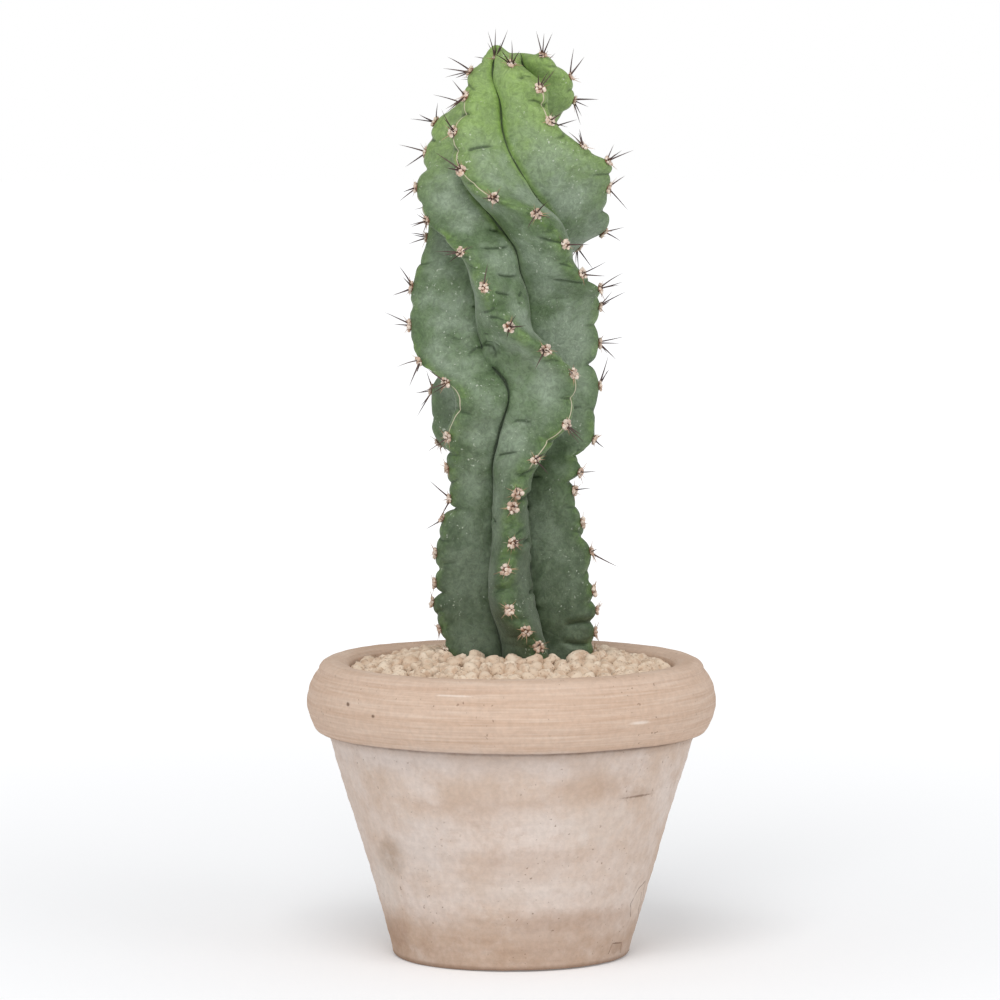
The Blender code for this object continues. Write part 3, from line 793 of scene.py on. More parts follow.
def tapered_cones(base, aim, bend, length, radius, sides=5, stations=5, blunt=0.06):
    """Curved cones as one mesh: points, quads, triangles and each point's share of length.

    The middle line is base + aim x length x t + bend x length x t^2, and the radius is
    radius x (1 - t)^0.7, never under blunt x radius; fans close the foot and the tip.
    """
    count = len(base)
    t = np.linspace(0, 1, stations)
    line = (base[:, None] + aim[:, None] * length[:, None, None] * t[None, :, None]
            + bend[:, None] * length[:, None, None] * (t ** 2)[None, :, None])
    helper = np.where(np.abs(aim[:, 2:3]) < 0.9, [[0.0, 0.0, 1.0]], [[1.0, 0.0, 0.0]])
    across = unit(np.cross(aim, helper))
    other = np.cross(aim, across)
    turn = np.arange(sides) * 2 * math.pi / sides
    ring = (across[:, None, None] * np.cos(turn)[None, None, :, None]
            + other[:, None, None] * np.sin(turn)[None, None, :, None])
    wide = radius[:, None] * np.maximum((1 - t) ** 0.7, blunt)[None]
    points = line[:, :, None] + ring * wide[:, :, None, None]
    each = stations * sides + 2
    tips = line[:, -1] + aim * radius[:, None] * 0.5
    packed = np.concatenate([points.reshape(count, -1, 3), tips[:, None], line[:, :1]], axis=1)
    quads = repeat_faces(ring_quads(stations, sides), count, each)
    side = np.arange(sides)
    beside = (side + 1) % sides
    top = (stations - 1) * sides
    fan = np.concatenate([
        np.stack([top + side, top + beside, np.full(sides, each - 2)], 1),
        np.stack([beside, side, np.full(sides, each - 1)], 1)])
    share = np.concatenate([np.repeat(t, sides), [1.0, 0.0]])
    return (packed.reshape(-1, 3), quads, repeat_faces(fan, count, each),
            np.tile(share, count))


# %% Wool pads
PAD_HALF = 2.45 * MM
LUMPS = 9
LUMP_HALF = 1.0 * MM
HAIRS_PER_PAD = 30

rng = np.random.default_rng(31)
growth = np.where(levels > 285, 0.85, 1.0) * rng.uniform(0.85, 1.12, len(pads))
growth[YOUNG] = 0.35
ball, ball_quads = cube_sphere(4)


def on_pads(owner, local):
    """Turn local (sideways, upward, outward) offsets into places on their areoles."""
    return (pads[owner] + local[..., :1] * sideways[owner] + local[..., 1:2] * upward[owner]
            + local[..., 2:] * outward[owner])


every_pad = np.arange(len(pads))[:, None]
cushion = ball * (0.9 * PAD_HALF, PAD_HALF, 0.62 * MM) * growth[:, None, None]
cushion_points = on_pads(every_pad, cushion)

# Tufts sit in a ring on the cushion, with one near its middle, and touch but do not merge.
owner = np.repeat(np.arange(len(pads)), LUMPS)
ring = np.tile(np.arange(LUMPS), len(pads))
spin = ring * 2 * math.pi / (LUMPS - 1) + np.repeat(rng.uniform(0, 6, len(pads)), LUMPS)
spin = spin + rng.normal(size=len(owner)) * 0.22
out = np.where(ring == LUMPS - 1, 0.15, rng.uniform(0.62, 0.92, len(owner))) * PAD_HALF
out = out * growth[owner]
size = LUMP_HALF * rng.uniform(0.62, 1.12, len(owner)) * growth[owner]
tuft, tuft_quads = cube_sphere(3)
uneven = 1 + 0.16 * ripples(np.arange(len(owner))[:, None, None] * 7.0 + tuft[None], 0.9, 41)
tufts = tuft[None] * uneven[..., None] * size[:, None, None] * (1.0, 1.0, 0.85)
place = np.stack([np.cos(spin) * out, np.sin(spin) * out * 1.08,
                  (0.55 * MM + 0.35 * size) * (1 - 0.25 * (out / PAD_HALF) ** 2)], axis=1)
tuft_points = on_pads(owner[:, None], tufts + place[:, None])
wool_points = np.concatenate([cushion_points.reshape(-1, 3), tuft_points.reshape(-1, 3)])
wool_quads = np.concatenate([
    repeat_faces(ball_quads, len(pads), len(ball)),
    repeat_faces(tuft_quads, len(owner), len(tuft)) + cushion_points.size // 3])
# The cushion is painted dark brown: the pad's brown core, and painted shade between the tufts.
stain_and_gap_shade = np.concatenate([np.ones(cushion_points.size // 3),
                        np.repeat(rng.uniform(0, 0.45, len(owner)), len(tuft))])
wool = make_piece("areole_wool", wool_points, wool_quads, attributes={"stain_and_gap_shade": stain_and_gap_shade})

owner = np.repeat(np.arange(len(pads)), HAIRS_PER_PAD)
spin = rng.uniform(0, 2 * math.pi, len(owner))
out = np.sqrt(rng.uniform(0.15, 1.0, len(owner)))
flat = np.stack([np.cos(spin) * out, np.sin(spin) * out], axis=1)
aim = unit(sideways[owner] * flat[:, :1] + upward[owner] * flat[:, 1:]
           + outward[owner] * np.sqrt(1.15 - out ** 2)[:, None])
rise = 1.1 * MM * np.sqrt(1.05 - out ** 2)
start = on_pads(owner, np.column_stack([flat * PAD_HALF * growth[owner, None], rise]))
hair_points, hair_quads, hair_ends, hair_share = tapered_cones(
    start, aim, rng.normal(size=aim.shape) * 0.45, rng.uniform(0.6, 1.5, len(owner)) * MM,
    rng.uniform(0.05, 0.10, len(owner)) * MM, sides=3, stations=3, blunt=0.3)
hairs = make_piece("areole_hairs", hair_points, hair_quads, hair_ends,
                   {"stain_and_gap_shade": hair_share * 0.2})

# %% [markdown]
# ## Wool and spine materials
# Wool is short, dry, matt fibre, so it gets sheen, high roughness and a scatter of brown
# where the spines break through; the dark brown cushion seen between the tufts is painted
# shade as well as the pad's brown core. The spines are horn-like: a dark red-brown shaft
# with a paler foot, grey where old, and a low satin gloss.


# %% Wool material
def wool_material():
    """Cream areole wool: matt fibre, browner mid-pad, with painted shade between the tufts."""
    material, tree, shader = new_material("cream_areole_wool")
    place = add_node(tree, "ShaderNodeTexCoord").outputs["Object"]
    stain_and_gap_shade = attribute(tree, "stain_and_gap_shade")
    colour = mix(tree, ramp(tree, noise(tree, place, 1.2, 2.0), 0.35, 0.68), "#efe2d3", "#d2b39c")
    colour = mix(tree, stain_and_gap_shade, colour, "#7d5841")
    tree.links.new(colour, shader.inputs["Base Color"])
    shader.inputs["Roughness"].default_value = 0.95
    shader.inputs["Sheen Weight"].default_value = 0.4
    shader.inputs["Specular IOR Level"].default_value = 0.1
    roughen(tree, shader, noise(tree, place, 0.7, 2.0), 0.8, 0.0004)
    return material


wool_coat = wool_material()
for piece in (wool, hairs):
    piece.data.materials.append(wool_coat)
    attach(piece, "root")

# %% [markdown]
# ## Spines
# Each areole bears a few long central spines and a ring of short radial ones. They are
# slender curved cones, joined into one mesh, since hundreds of objects would be slow to
# handle. Lengths and directions are drawn from a fixed seed within what real ones do; the
# oldest areoles near the ground have lost most of their long spines.

# %% Spines
LONG_RADIUS = 0.46 * MM
SHORT_RADIUS = 0.24 * MM


def spine_set(per_pad, shortest, longest, thickness, low_tilt, high_tilt, seed, some=None):
    """Spines leaving the pads at a tilt from the normal: base, aim, bend, length, radius."""
    rng = np.random.default_rng(seed)
    owner = np.repeat(np.arange(len(pads)), per_pad)
    if some is not None:
        owner = owner[some(owner, rng)]
    turn = rng.uniform(0, 2 * math.pi, len(owner))
    tilt = np.radians(rng.uniform(low_tilt, high_tilt, len(owner)))
    flat = (sideways[owner] * np.cos(turn)[:, None] + upward[owner] * np.sin(turn)[:, None])
    aim = unit(outward[owner] * np.cos(tilt)[:, None] + flat * np.sin(tilt)[:, None])
    base = (pads[owner] + outward[owner] * 0.2 * MM
            + flat * (rng.uniform(0.1, 0.9, len(owner)) * MM)[:, None])
    length = rng.uniform(shortest, longest, len(owner)) * MM
    bend = rng.normal(size=aim.shape) * 0.06
    radius = thickness * rng.uniform(0.8, 1.15, len(owner))
    return base, aim, bend, length, radius


long_set = spine_set(4, 8.0, 15.0, LONG_RADIUS, 12, 68, 51,
                     lambda owner, rng: rng.random(len(owner)) < np.interp(
                         levels[owner], [0, 90, 130, 290, 300], [0.04, 0.15, 0.72, 0.78, 0.9]))
short_set = spine_set(8, 3.9, 6.6, SHORT_RADIUS, 55, 84, 52,
                      lambda owner, rng: rng.random(len(owner)) < np.interp(
                          levels[owner], [0, 110, 150], [0.95, 0.9, 0.45]))


def spine_piece(name, spines, tone):
    """Joined spines with their share of length and a tone that differs from spine to spine."""
    points, quads, ends, share = tapered_cones(*spines)
    shade = np.repeat(np.random.default_rng(61).uniform(0, 1, len(spines[0])),
                      len(points) // len(spines[0]))
    piece = make_piece(name, points, quads, ends, {"length_share": share, "tone": shade,
                                                   "short": np.full(len(points), tone)})
    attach(piece, "root")
    return piece


def spine_material():
    """Horn-like spines: tan foot, dark red-brown shaft, grey where old, satin."""
    material, tree, shader = new_material("brown_horn_spine")
    share = attribute(tree, "length_share")
    tone = attribute(tree, "tone")
    dark = mix(tree, tone, "#33191a", "#5a453f")
    colour = mix(tree, ramp(tree, share, 0.0, 0.2), "#7b5a43", dark)
    tan = mix(tree, tone, "#c7a283", "#8f6a52")
    colour = mix(tree, attribute(tree, "short"), colour, tan)
    tree.links.new(colour, shader.inputs["Base Color"])
    shader.inputs["Roughness"].default_value = 0.5
    return material


horn = spine_material()
for piece in (spine_piece("long_spines", long_set, 0.0), spine_piece("radial_spines", short_set, 1.0)):
    piece.data.materials.append(horn)

# %% [markdown]
# ## Pumice dressing
# The pot is topped with rounded, pitted pumice grains of 5 to 9 mm. Hundreds of separate
# rigid bodies would settle nicely but could change from run to run, so the grains start at
# random places in the ring between stem and pot and are pushed apart for a fixed number of
# rounds, with the imported stones of the model held still.
# Each is a cube-sphere with its own lumps.

# %% Room for the grains
WALL_RADIUS = 78.2 * MM
TOP_AT_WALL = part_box("gravel_bed")[0].z + 17.6 * MM
TOP_AT_STEM = TOP_AT_WALL + 8.5 * MM
CROWN_RADIUS = 38 * MM
LAYER = 9.5 * MM
GRAINS = 700
FILL_DEPTH = 6.8 * MM
FILL_UNEVEN = 0.9 * MM

soil_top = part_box("soil")[1].z
outline = stem_sections(np.array([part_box("gravel_bed")[1].z + 3 * MM - RIB_FOOT]),
                        even_steps(40))[0]


def heap_top(distance):
    """Height of the heap: level round the stem, then falling evenly to the wall."""
    fall = np.clip((distance - CROWN_RADIUS) / (WALL_RADIUS - CROWN_RADIUS), 0, 1)
    return TOP_AT_STEM + (TOP_AT_WALL - TOP_AT_STEM) * fall


def push_from_stem(centre, radius):
    """Move grains that touch the stem straight away from its nearest outline point."""
    gaps = centre[:, None, :2] - outline[None, :, :2]
    distance = np.linalg.norm(gaps, axis=2)
    nearest = distance.argmin(axis=1)
    row = np.arange(len(centre))
    away = unit(outline[nearest, :2])
    inside = np.linalg.norm(centre[:, :2], axis=1) < np.linalg.norm(outline[nearest, :2], axis=1)
    gap = np.where(inside, -distance[row, nearest], distance[row, nearest])
    need = np.clip(0.8 * radius - gap, 0, None)
    centre[:, :2] += away * need[:, None]


def settle(centre, radius, fixed, fixed_radius, rounds=160):
    """Push overlapping grains apart, keeping them off the stem, the wall, and under the top."""
    for _ in range(rounds):
        every = np.concatenate([centre, fixed])
        reach = np.concatenate([radius, fixed_radius])
        gap = centre[:, None] - every[None]
        distance = np.linalg.norm(gap, axis=2)
        distance[np.arange(len(centre)), np.arange(len(centre))] = 1
        overlap = np.clip(0.93 * (radius[:, None] + reach[None]) - distance, 0, None)
        push = (gap / np.maximum(distance, 1e-9)[..., None] * overlap[..., None]).sum(axis=1)
        centre = centre + 0.30 * push
        centre[:, 2] -= 0.02 * MM
        push_from_stem(centre, radius)
        out = np.linalg.norm(centre[:, :2], axis=1)
        limit = WALL_RADIUS - 0.9 * radius
        centre[:, :2] *= np.minimum(1, limit / np.maximum(out, 1e-9))[:, None]
        top = heap_top(out)
        centre[:, 2] = np.clip(centre[:, 2], top - LAYER, top - 0.75 * radius)
    return centre


# %% Drop the grains
rng = np.random.default_rng(71)
stones = sorted(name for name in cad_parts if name.startswith("pumice_"))
stone_low = np.array([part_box(name)[0] for name in stones])
stone_high = np.array([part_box(name)[1] for name in stones])
fixed = 0.5 * (stone_low + stone_high)
fixed_radius = 0.5 * (stone_high - stone_low).mean(axis=1)

radius = rng.triangular(2.5, 3.5, 4.9, GRAINS) * MM
turn = rng.uniform(0, 2 * math.pi, GRAINS)
out = np.sqrt(rng.uniform((32 * MM) ** 2, (WALL_RADIUS - 3 * MM) ** 2, GRAINS))
centre = np.stack([out * np.cos(turn), out * np.sin(turn), heap_top(out)
                   - rng.uniform(3 * MM, LAYER, GRAINS)], axis=1)
centre = settle(centre, radius, fixed, fixed_radius)
print("grains", len(centre), "highest", (centre[:, 2] + radius).max().round(4))


def random_turns(count, rng):
    """Random rotation matrices from unit quaternions."""
    w, x, y, z = unit(rng.normal(size=(count, 4))).T
    return np.stack([
        np.stack([1 - 2 * (y * y + z * z), 2 * (x * y - z * w), 2 * (x * z + y * w)], -1),
        np.stack([2 * (x * y + z * w), 1 - 2 * (x * x + z * z), 2 * (y * z - x * w)], -1),
        np.stack([2 * (x * z - y * w), 2 * (y * z + x * w), 1 - 2 * (x * x + y * y)], -1)], -2)


def lumpy(directions, count, depth, pitch, rng):
    """Radius of count lumpy stones in each direction: 1 + depth x a sum of sine waves."""
    waves = rng.normal(size=(count, 7, 3)) * pitch
    phases = rng.uniform(0, 2 * math.pi, (count, 7))
    swing = np.sin(np.einsum("pk,cwk->cpw", directions, waves) + phases[:, None])
    return 1 + depth * swing.sum(axis=2) / math.sqrt(7)


def grains(shape, centre, radius, rng):
    """Points of many stones: lumps, uneven proportions and a turn of their own."""
    size = rng.uniform([0.92, 0.74, 0.66], [1.22, 1.0, 0.92], (len(centre), 3))
    local = shape[None] * lumpy(shape, len(centre), 0.16, 2.6, rng)[..., None]
    local = local * size[:, None] * radius[:, None, None] * 1.12
    return np.einsum("cij,cpj->cpi", random_turns(len(centre), rng), local) + centre[:, None]


grain_shape, grain_quads = cube_sphere(4)
loose = grains(grain_shape, centre, radius, rng)
shade = np.repeat(rng.uniform(0, 1, GRAINS), len(grain_shape))

# %% Fill under the grains
FILL_RINGS = 14
steps = np.linspace(0, 1, FILL_RINGS)[:, None, None]
inner = outline.copy()
inner[:, :2] *= 0.93
round_about = np.arctan2(inner[:, 1], inner[:, 0])
outer = np.stack([np.cos(round_about), np.sin(round_about), 0 * round_about], 1) * WALL_RADIUS
fill_top = inner[None] + (outer - inner)[None] * steps
away = np.linalg.norm(fill_top[..., :2], axis=2)
fill_top[..., 2] = heap_top(away) - FILL_DEPTH + FILL_UNEVEN * ripples(fill_top, 4 * MM, 81)
fill_low = fill_top[::-1].copy()
fill_low[..., 2] = soil_top + 1 * MM
fill = np.concatenate([fill_low, fill_top])
points = np.concatenate([fill.reshape(-1, 3), loose.reshape(-1, 3)])
fill_quads = ring_quads(2 * FILL_RINGS, fill.shape[1], closed_rows=True)[:, ::-1]
loose_quads = repeat_faces(grain_quads, GRAINS, len(grain_shape)) + fill.shape[0] * fill.shape[1]
# Painted shade: grains darken the lower they sit under the heap's top, and the fill is dark.
under = heap_top(np.linalg.norm(loose[..., :2], axis=2)) - loose[..., 2]
crevice_shade = np.concatenate([np.ones(fill.shape[0] * fill.shape[1]),
                       0.75 * smooth_step(under.ravel(), 2.5 * MM, 8 * MM)])
dressing = make_piece("pumice_dressing", points, np.concatenate([fill_quads, loose_quads]),
                      attributes={"crevice_shade": crevice_shade, "tone": np.concatenate([
                          np.full(fill.shape[0] * fill.shape[1], 0.2), shade])})
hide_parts("gravel_bed")
pumice_pieces = [dressing]
shape, shape_quads = cube_sphere(7)
own_points = grains(shape, fixed, fixed_radius * 0.9, rng)
for name, stone_points, tone in zip(stones, own_points, rng.uniform(0, 1, len(stones))):
    stone = make_piece("loose_" + name, stone_points, shape_quads,
                       attributes={"crevice_shade": np.zeros(len(shape)),
                                   "tone": np.full(len(shape), tone)})
    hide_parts(name)
    pumice_pieces.append(stone)


# %% Pumice material
def pumice_material():
    """Dry beige pumice: matt, finely pitted, a little dusty, with painted shade low in the heap."""
    material, tree, shader = new_material("dry_beige_pumice")
    place = add_node(tree, "ShaderNodeTexCoord").outputs["Object"]
    tone = attribute(tree, "tone")
    colour = mix(tree, tone, "#dcc6af", "#ecdac5")
    colour = mix(tree, ramp(tree, noise(tree, place, 2.2, 3.0), 0.42, 0.72), colour, "#cdb198")
    pits = add_node(tree, "ShaderNodeTexVoronoi", {"Vector": place, "Scale": 1000 / 0.9 / 2.2})
    pit = ramp(tree, pits.outputs["Distance"], 0.30, 0.05)
    colour = mix(tree, times(tree, pit, 0.45), colour, "#9c7c62")
    # Painted shade low in the heap and on the fill under the grains.
    colour = mix(tree, times(tree, attribute(tree, "crevice_shade"), 0.8), colour, "#5f4a39")
    tree.links.new(colour, shader.inputs["Base Color"])
    shader.inputs["Roughness"].default_value = 0.95
    shader.inputs["Specular IOR Level"].default_value = 0.15
    height = math_node(tree, "SUBTRACT", noise(tree, place, 1.2, 4.0, 0.7), pit)
    roughen(tree, shader, height, 0.55, 0.0007)
    return material


pumice_coat = pumice_material()
for piece in pumice_pieces:
    piece.data.materials.append(pumice_coat)
    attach(piece, "root")

# %% [markdown]
# ## The pot
# An unglazed terracotta pot, thrown or pressed and turned, so it is a surface of revolution:
# a domed lip, a rolled rim standing out past the wall, a tapering wall and a flat foot with
# a drain hole. The profile repeats the model's own sizes with many more points. Turning
# marks and shallow waves are added along the normal, and the wall is plain.

# %% Pot profile
RIM_RADIUS = 100.0
BASE_RADIUS = 58.0
POT_HEIGHT = 145.0
RIM_FOOT = POT_HEIGHT - 34.0
LIP_HEIGHT = 5.0
LIP_STEP = 0.8
RIM_BULGE = 4.8
RIM_INNER = RIM_RADIUS - 21.0
WALL_TOP = RIM_RADIUS - 10.5
WALL = 10.5
FLOOR = 12.0
DRAIN_RADIUS = 10.0
FOOT_ROUNDING = 2.0


def arc(centre_r, centre_z, half_r, half_z, start, end, count):
    """Points on an ellipse from one angle to another in degrees: radius and height."""
    angles = np.radians(np.linspace(start, end, count))
    return np.stack([centre_r + half_r * np.cos(angles), centre_z + half_z * np.sin(angles)], 1)


def line(start, end, count):
    """Points on a straight line, without its last one."""
    return np.linspace(start, end, count + 1)[:-1]


def pot_outline():
    """Closed profile in millimetres, down the outside and up the inside."""
    lip_base = POT_HEIGHT - LIP_HEIGHT
    face_top = lip_base - LIP_STEP
    middle, half = 0.5 * (face_top + RIM_FOOT), 0.5 * (face_top - RIM_FOOT)
    lip_outer = RIM_RADIUS - RIM_BULGE - LIP_STEP
    crown = 0.5 * (RIM_INNER + lip_outer)
    share = np.linspace(1, -1, 44)
    face = np.stack([RIM_RADIUS - RIM_BULGE * share ** 2, middle + half * share], 1)
    edge = face[-1]
    inner_low = BASE_RADIUS + (WALL_TOP - BASE_RADIUS) * FLOOR / RIM_FOOT - WALL
    return np.concatenate([
        arc(crown, lip_base, lip_outer - crown, LIP_HEIGHT, 180, 0, 26)[:-1],
        line((lip_outer, lip_base), face[0], 2), face[:-1],
        arc(edge[0] - 0.7, edge[1] + 0.5, 0.7, 0.9, 0, -90, 5),
        line((edge[0] - 1.6, RIM_FOOT - 0.4), (WALL_TOP + 0.3, RIM_FOOT - 0.4), 3),
        line((WALL_TOP, RIM_FOOT - 0.8), (BASE_RADIUS, FOOT_ROUNDING), 110),
        arc(BASE_RADIUS - FOOT_ROUNDING, FOOT_ROUNDING, FOOT_ROUNDING, FOOT_ROUNDING, 0, -90, 6),
        line((BASE_RADIUS - 4, 0), (DRAIN_RADIUS + 1, 0), 8),
        arc(DRAIN_RADIUS + 0.8, 0.8, 0.8, 0.8, -90, -180, 4),
        line((DRAIN_RADIUS, 2.0), (DRAIN_RADIUS, FLOOR), 3),
        line((DRAIN_RADIUS, FLOOR), (inner_low, FLOOR), 6),
        line((inner_low, FLOOR), (RIM_INNER, RIM_FOOT), 12),
        line((RIM_INNER, RIM_FOOT), (RIM_INNER, lip_base), 14)])


# %% Pot surface
AROUND = 400
profile = pot_outline()
turns = np.linspace(0, 2 * math.pi, AROUND, endpoint=False)
radius_mm, height_mm = profile[:, 0], profile[:, 1]
pot = np.stack([radius_mm[:, None] * np.sin(turns)[None],
                -radius_mm[:, None] * np.cos(turns)[None],
                np.repeat(height_mm[:, None], AROUND, axis=1)], axis=2) * MM
tangent = np.roll(profile, -1, axis=0) - np.roll(profile, 1, axis=0)
tangent /= np.linalg.norm(tangent, axis=1)[:, None]
outside = np.stack([-tangent[:, 1], tangent[:, 0]], axis=1)
normal = np.stack([outside[:, :1] * np.sin(turns)[None], -outside[:, :1] * np.cos(turns)[None],
                   np.repeat(outside[:, 1:], AROUND, axis=1)], axis=2)
signed_turn = (turns + math.pi) % (2 * math.pi) - math.pi
run_mm = signed_turn[None] * radius_mm[:, None]
level_mm = np.repeat(height_mm[:, None], AROUND, axis=1)

marks = 0.10 * np.sin(height_mm / 1.9 + 1.2 * np.sin(height_mm / 7)) + 0.06 * np.sin(height_mm / 0.8)
waves = 0.30 * ripples(pot, 34 * MM, 91) + 0.07 * ripples(pot, 6 * MM, 92)
lift = (marks[:, None] + waves) * MM * (radius_mm > 30)[:, None]
pot = pot + normal * lift[..., None]
pot[..., 2] = np.maximum(pot[..., 2], 0)
pot_piece = make_piece("terracotta_pot", pot, ring_quads(*pot.shape[:2], closed_rows=True)[:, ::-1],
                       attributes={"run": run_mm, "level": level_mm})
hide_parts("pot")
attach(pot_piece, "root")


# %% Terracotta material
# Stains and blooms on the wall: run and level of the middle and their halves in mm, edge
# softness, strength, colour.
STAINS = ((-68, 54, 9, 9, 0.5, 0.50, "#a08873"), (-9, 84, 26, 7, 0.8, 0.26, "#b39680"),
          (42, 92, 20, 7, 0.8, 0.32, "#b39680"), (9, 55, 30, 7, 0.8, 0.28, "#b39680"),
          (30, 25, 34, 5, 0.7, 0.40, "#aa8a72"), (-72, 14, 14, 8, 0.6, 0.45, "#a68670"),
          (-46, 60, 15, 12, 0.8, 0.55, "#ded4ce"), (38, 74, 22, 8, 0.8, 0.45, "#ddd2ca"),
          (-76, 38, 10, 14, 0.8, 0.50, "#dbd1c9"), (5, 40, 30, 6, 0.8, 0.40, "#dacec5"),
          (-20, 104, 70, 6, 0.8, 0.40, "#d8ccc6"), (69, 85, 9, 0.6, 0.5, 0.75, "#6f5a4c"),
          (69, 86, 11, 3.5, 0.5, 0.30, "#a58c7a"), (62, 7, 6, 3, 0.2, 0.40, "#a1846f"),
          (79, 29, 7, 9, 0.3, 0.45, "#dccbbd"),
          (65, 123.5, 5, 0.7, 0.8, 0.60, "#efe4da"), (-27, 138, 9, 0.35, 0.6, 0.55, "#efe4da"),
          (-90, 130, 1.1, 0.9, 0.5, 0.80, "#5f4738"), (-72, 126, 1.0, 0.8, 0.5, 0.80, "#5f4738"))
# Cracks on the wall, as lines through (run, level) points in mm.
CRACKS = (((85, 38.5), (77.4, 36), (69.7, 28.8), (72, 22)), ((85, 38.5), (87.5, 30), (86, 22), (88, 12)),
          ((82, 33), (84, 24), (88, 20)), ((54.5, 5), (57, 10), (66, 9), (66.4, 3.6)))


def oval(tree, flat, wobble, middle, half, soft):
    """1 inside an uneven oval round middle, fading to 0 over its soft edge.

    Its measure is the length of (place - middle) / half, plus a wobble of noise.
    """
    gap = add_node(tree, "ShaderNodeVectorMath", {0: flat, 1: (*middle, 0)},
                   operation="SUBTRACT").outputs[0]
    gap = add_node(tree, "ShaderNodeVectorMath", {0: gap, 1: (1 / half[0], 1 / half[1], 0)},
                   operation="MULTIPLY").outputs[0]
    away = add_node(tree, "ShaderNodeVectorMath", {0: gap}, operation="LENGTH").outputs["Value"]
    return ramp(tree, math_node(tree, "ADD", away, wobble), 1 + soft, 1 - soft)


def distance_to(tree, flat, start, end):
    """Distance from a place to the line between two points.

    With s = (p - a) . (b - a) / |b - a|^2 kept within 0..1, it is |p - a - s (b - a)|.
    """
    run = np.subtract(end, start)
    gap = add_node(tree, "ShaderNodeVectorMath", {0: flat, 1: (*start, 0)},
                   operation="SUBTRACT").outputs[0]
    along = add_node(tree, "ShaderNodeVectorMath", {0: gap, 1: (*(run / (run @ run)), 0)},
                     operation="DOT_PRODUCT").outputs["Value"]
    along = add_node(tree, "ShaderNodeClamp", {"Value": along}).outputs[0]
    foot = add_node(tree, "ShaderNodeVectorMath", {0: (*run, 0), "Scale": along},
                    operation="SCALE").outputs[0]
    return add_node(tree, "ShaderNodeVectorMath", {0: gap, 1: foot},
                    operation="DISTANCE").outputs["Value"]


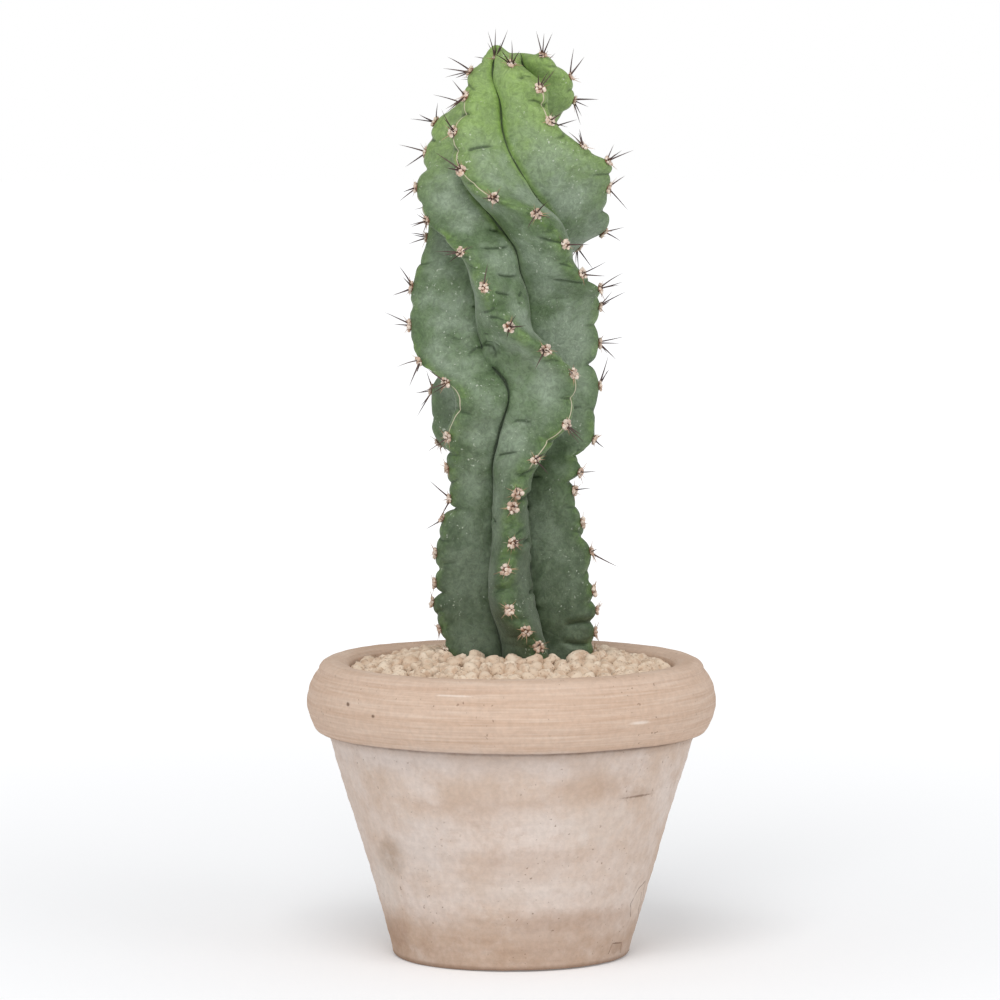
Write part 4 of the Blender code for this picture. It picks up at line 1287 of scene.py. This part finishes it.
def terracotta():
    """Unglazed pale terracotta with lime bloom, turning streaks, stains and a few cracks."""
    material, tree, shader = new_material("unglazed_pale_terracotta")
    place = add_node(tree, "ShaderNodeTexCoord").outputs["Object"]
    run, level = attribute(tree, "run"), attribute(tree, "level")
    flat = add_node(tree, "ShaderNodeCombineXYZ", {"X": run, "Y": level}).outputs[0]
    rim = ramp(tree, level, 110.4, 111.2)
    long_run = add_node(tree, "ShaderNodeVectorMath", {0: flat, 1: (0.03, 1.1, 0)},
                        operation="MULTIPLY").outputs[0]
    streak = add_node(tree, "ShaderNodeTexNoise", {"Vector": long_run, "Scale": 1.0,
                                                   "Detail": 4.0}).outputs["Fac"]
    broad = add_node(tree, "ShaderNodeTexNoise", {"Vector": long_run, "Scale": 0.22,
                                                  "Detail": 3.0}).outputs["Fac"]

    # The body: soft clouds of bloom, thicker above, on clay that browns towards the foot.
    clouds = noise(tree, place, 22.0, 6.0, 0.65)
    smears = noise(tree, place, 6.0, 5.0, 0.7)
    body = mix(tree, ramp(tree, clouds, 0.34, 0.66), "#ceb8a7", "#dccdc3")
    body = mix(tree, ramp(tree, smears, 0.50, 0.72, 0.0, 0.35), body, "#b89c87")
    body = mix(tree, ramp(tree, smears, 0.46, 0.30, 0.0, 0.30), body, "#e2d8d0")
    foot = times(tree, ramp(tree, level, 34.0, 12.0),
                 ramp(tree, noise(tree, place, 12.0, 5.0, 0.65), 0.30, 0.60, 0.4, 1.0))
    body = mix(tree, times(tree, foot, 0.68), body, "#b5977f")
    # Painted contact shade: a thin dark band over the lowest 3 mm, at the foot.
    body = mix(tree, ramp(tree, level, 3.2, 1.0, 0.0, 0.6), body, "#8d705c")
    # Painted shadow under the rim: a soft band from 104 mm up and a dark line just below the rim.
    body = mix(tree, ramp(tree, level, 104.0, 108.5, 0.0, 0.35), body, "#a08672")
    body = mix(tree, ramp(tree, level, 108.0, 109.6, 0.0, 0.75), body, "#6f5848")
    face = mix(tree, ramp(tree, broad, 0.30, 0.70), "#c8ac97", "#d1b8a5")
    face = mix(tree, ramp(tree, streak, 0.45, 0.72, 0.0, 0.40), face, "#dfcdbd")
    face = mix(tree, ramp(tree, streak, 0.46, 0.28, 0.0, 0.30), face, "#b5967d")
    inner = times(tree, ramp(tree, level, 139.0, 132.0), ramp(
        tree, add_node(tree, "ShaderNodeVectorMath", {0: add_node(
            tree, "ShaderNodeVectorMath", {0: place, 1: (1, 1, 0)},
            operation="MULTIPLY").outputs[0]}, operation="LENGTH").outputs["Value"],
        0.082, 0.080))
    face = mix(tree, times(tree, inner, 0.75), face, "#a87f63")
    colour = mix(tree, rim, body, face)

    wobble = times(tree, math_node(tree, "SUBTRACT", noise(
        tree, place, 5.0, 4.0, 0.7), 0.5), 2.2)
    for across, up, half_across, half_up, soft, strength, tint in STAINS:
        inside = oval(tree, flat, wobble, (across, up), (half_across, half_up), soft)
        colour = mix(tree, times(tree, inside, strength), colour, tint)
    crack = None
    for points in CRACKS:
        for start, end in zip(points[:-1], points[1:]):
            away = distance_to(tree, flat, start, end)
            crack = away if crack is None else math_node(tree, "MINIMUM", crack, away)
    crack = ramp(tree, math_node(tree, "ADD", crack, times(tree, wobble, 0.25)),
                 0.44, 0.08)
    worn = ramp(tree, noise(tree, place, 2.5), 0.38, 0.55, 0.25, 0.75)
    colour = mix(tree, times(tree, crack, worn), colour, "#6d5545")
    fine = noise(tree, place, 1.4, 4.0, 0.7)
    colour = add_node(tree, "ShaderNodeHueSaturation", {
        "Color": colour, "Value": ramp(tree, fine, 0.30, 0.70, 0.94, 1.05)}).outputs[0]
    pits = times(tree, ramp(tree, noise(tree, place, 0.9, 1.0), 0.70, 0.76),
                 ramp(tree, noise(tree, place, 14.0), 0.44, 0.58))
    colour = mix(tree, times(tree, pits, 0.6), colour, "#846a58")
    tree.links.new(colour, shader.inputs["Base Color"])
    shader.inputs["Roughness"].default_value = 0.92
    shader.inputs["Specular IOR Level"].default_value = 0.2
    grain = math_node(tree, "ADD", times(tree, fine, 0.6),
                      times(tree, streak, 0.5))
    grain = math_node(tree, "SUBTRACT", grain, math_node(tree, "ADD", crack, pits))
    roughen(tree, shader, grain, 0.30, 0.0006)
    return material


pot_piece.data.materials.append(terracotta())


# %% Soil material
def soil_material():
    """Dark, dry, gritty potting mix."""
    material, tree, shader = new_material("dark_potting_soil")
    place = add_node(tree, "ShaderNodeTexCoord").outputs["Object"]
    crumbs = noise(tree, place, 2.5, 6.0, 0.7)
    colour = mix(tree, ramp(tree, crumbs, 0.35, 0.65), "#2b2019", "#5a4636")
    tree.links.new(colour, shader.inputs["Base Color"])
    shader.inputs["Roughness"].default_value = 0.97
    roughen(tree, shader, crumbs, 0.9, 0.001)
    return material


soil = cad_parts["soil"]
soil.data.materials.clear()
soil.data.materials.append(soil_material())
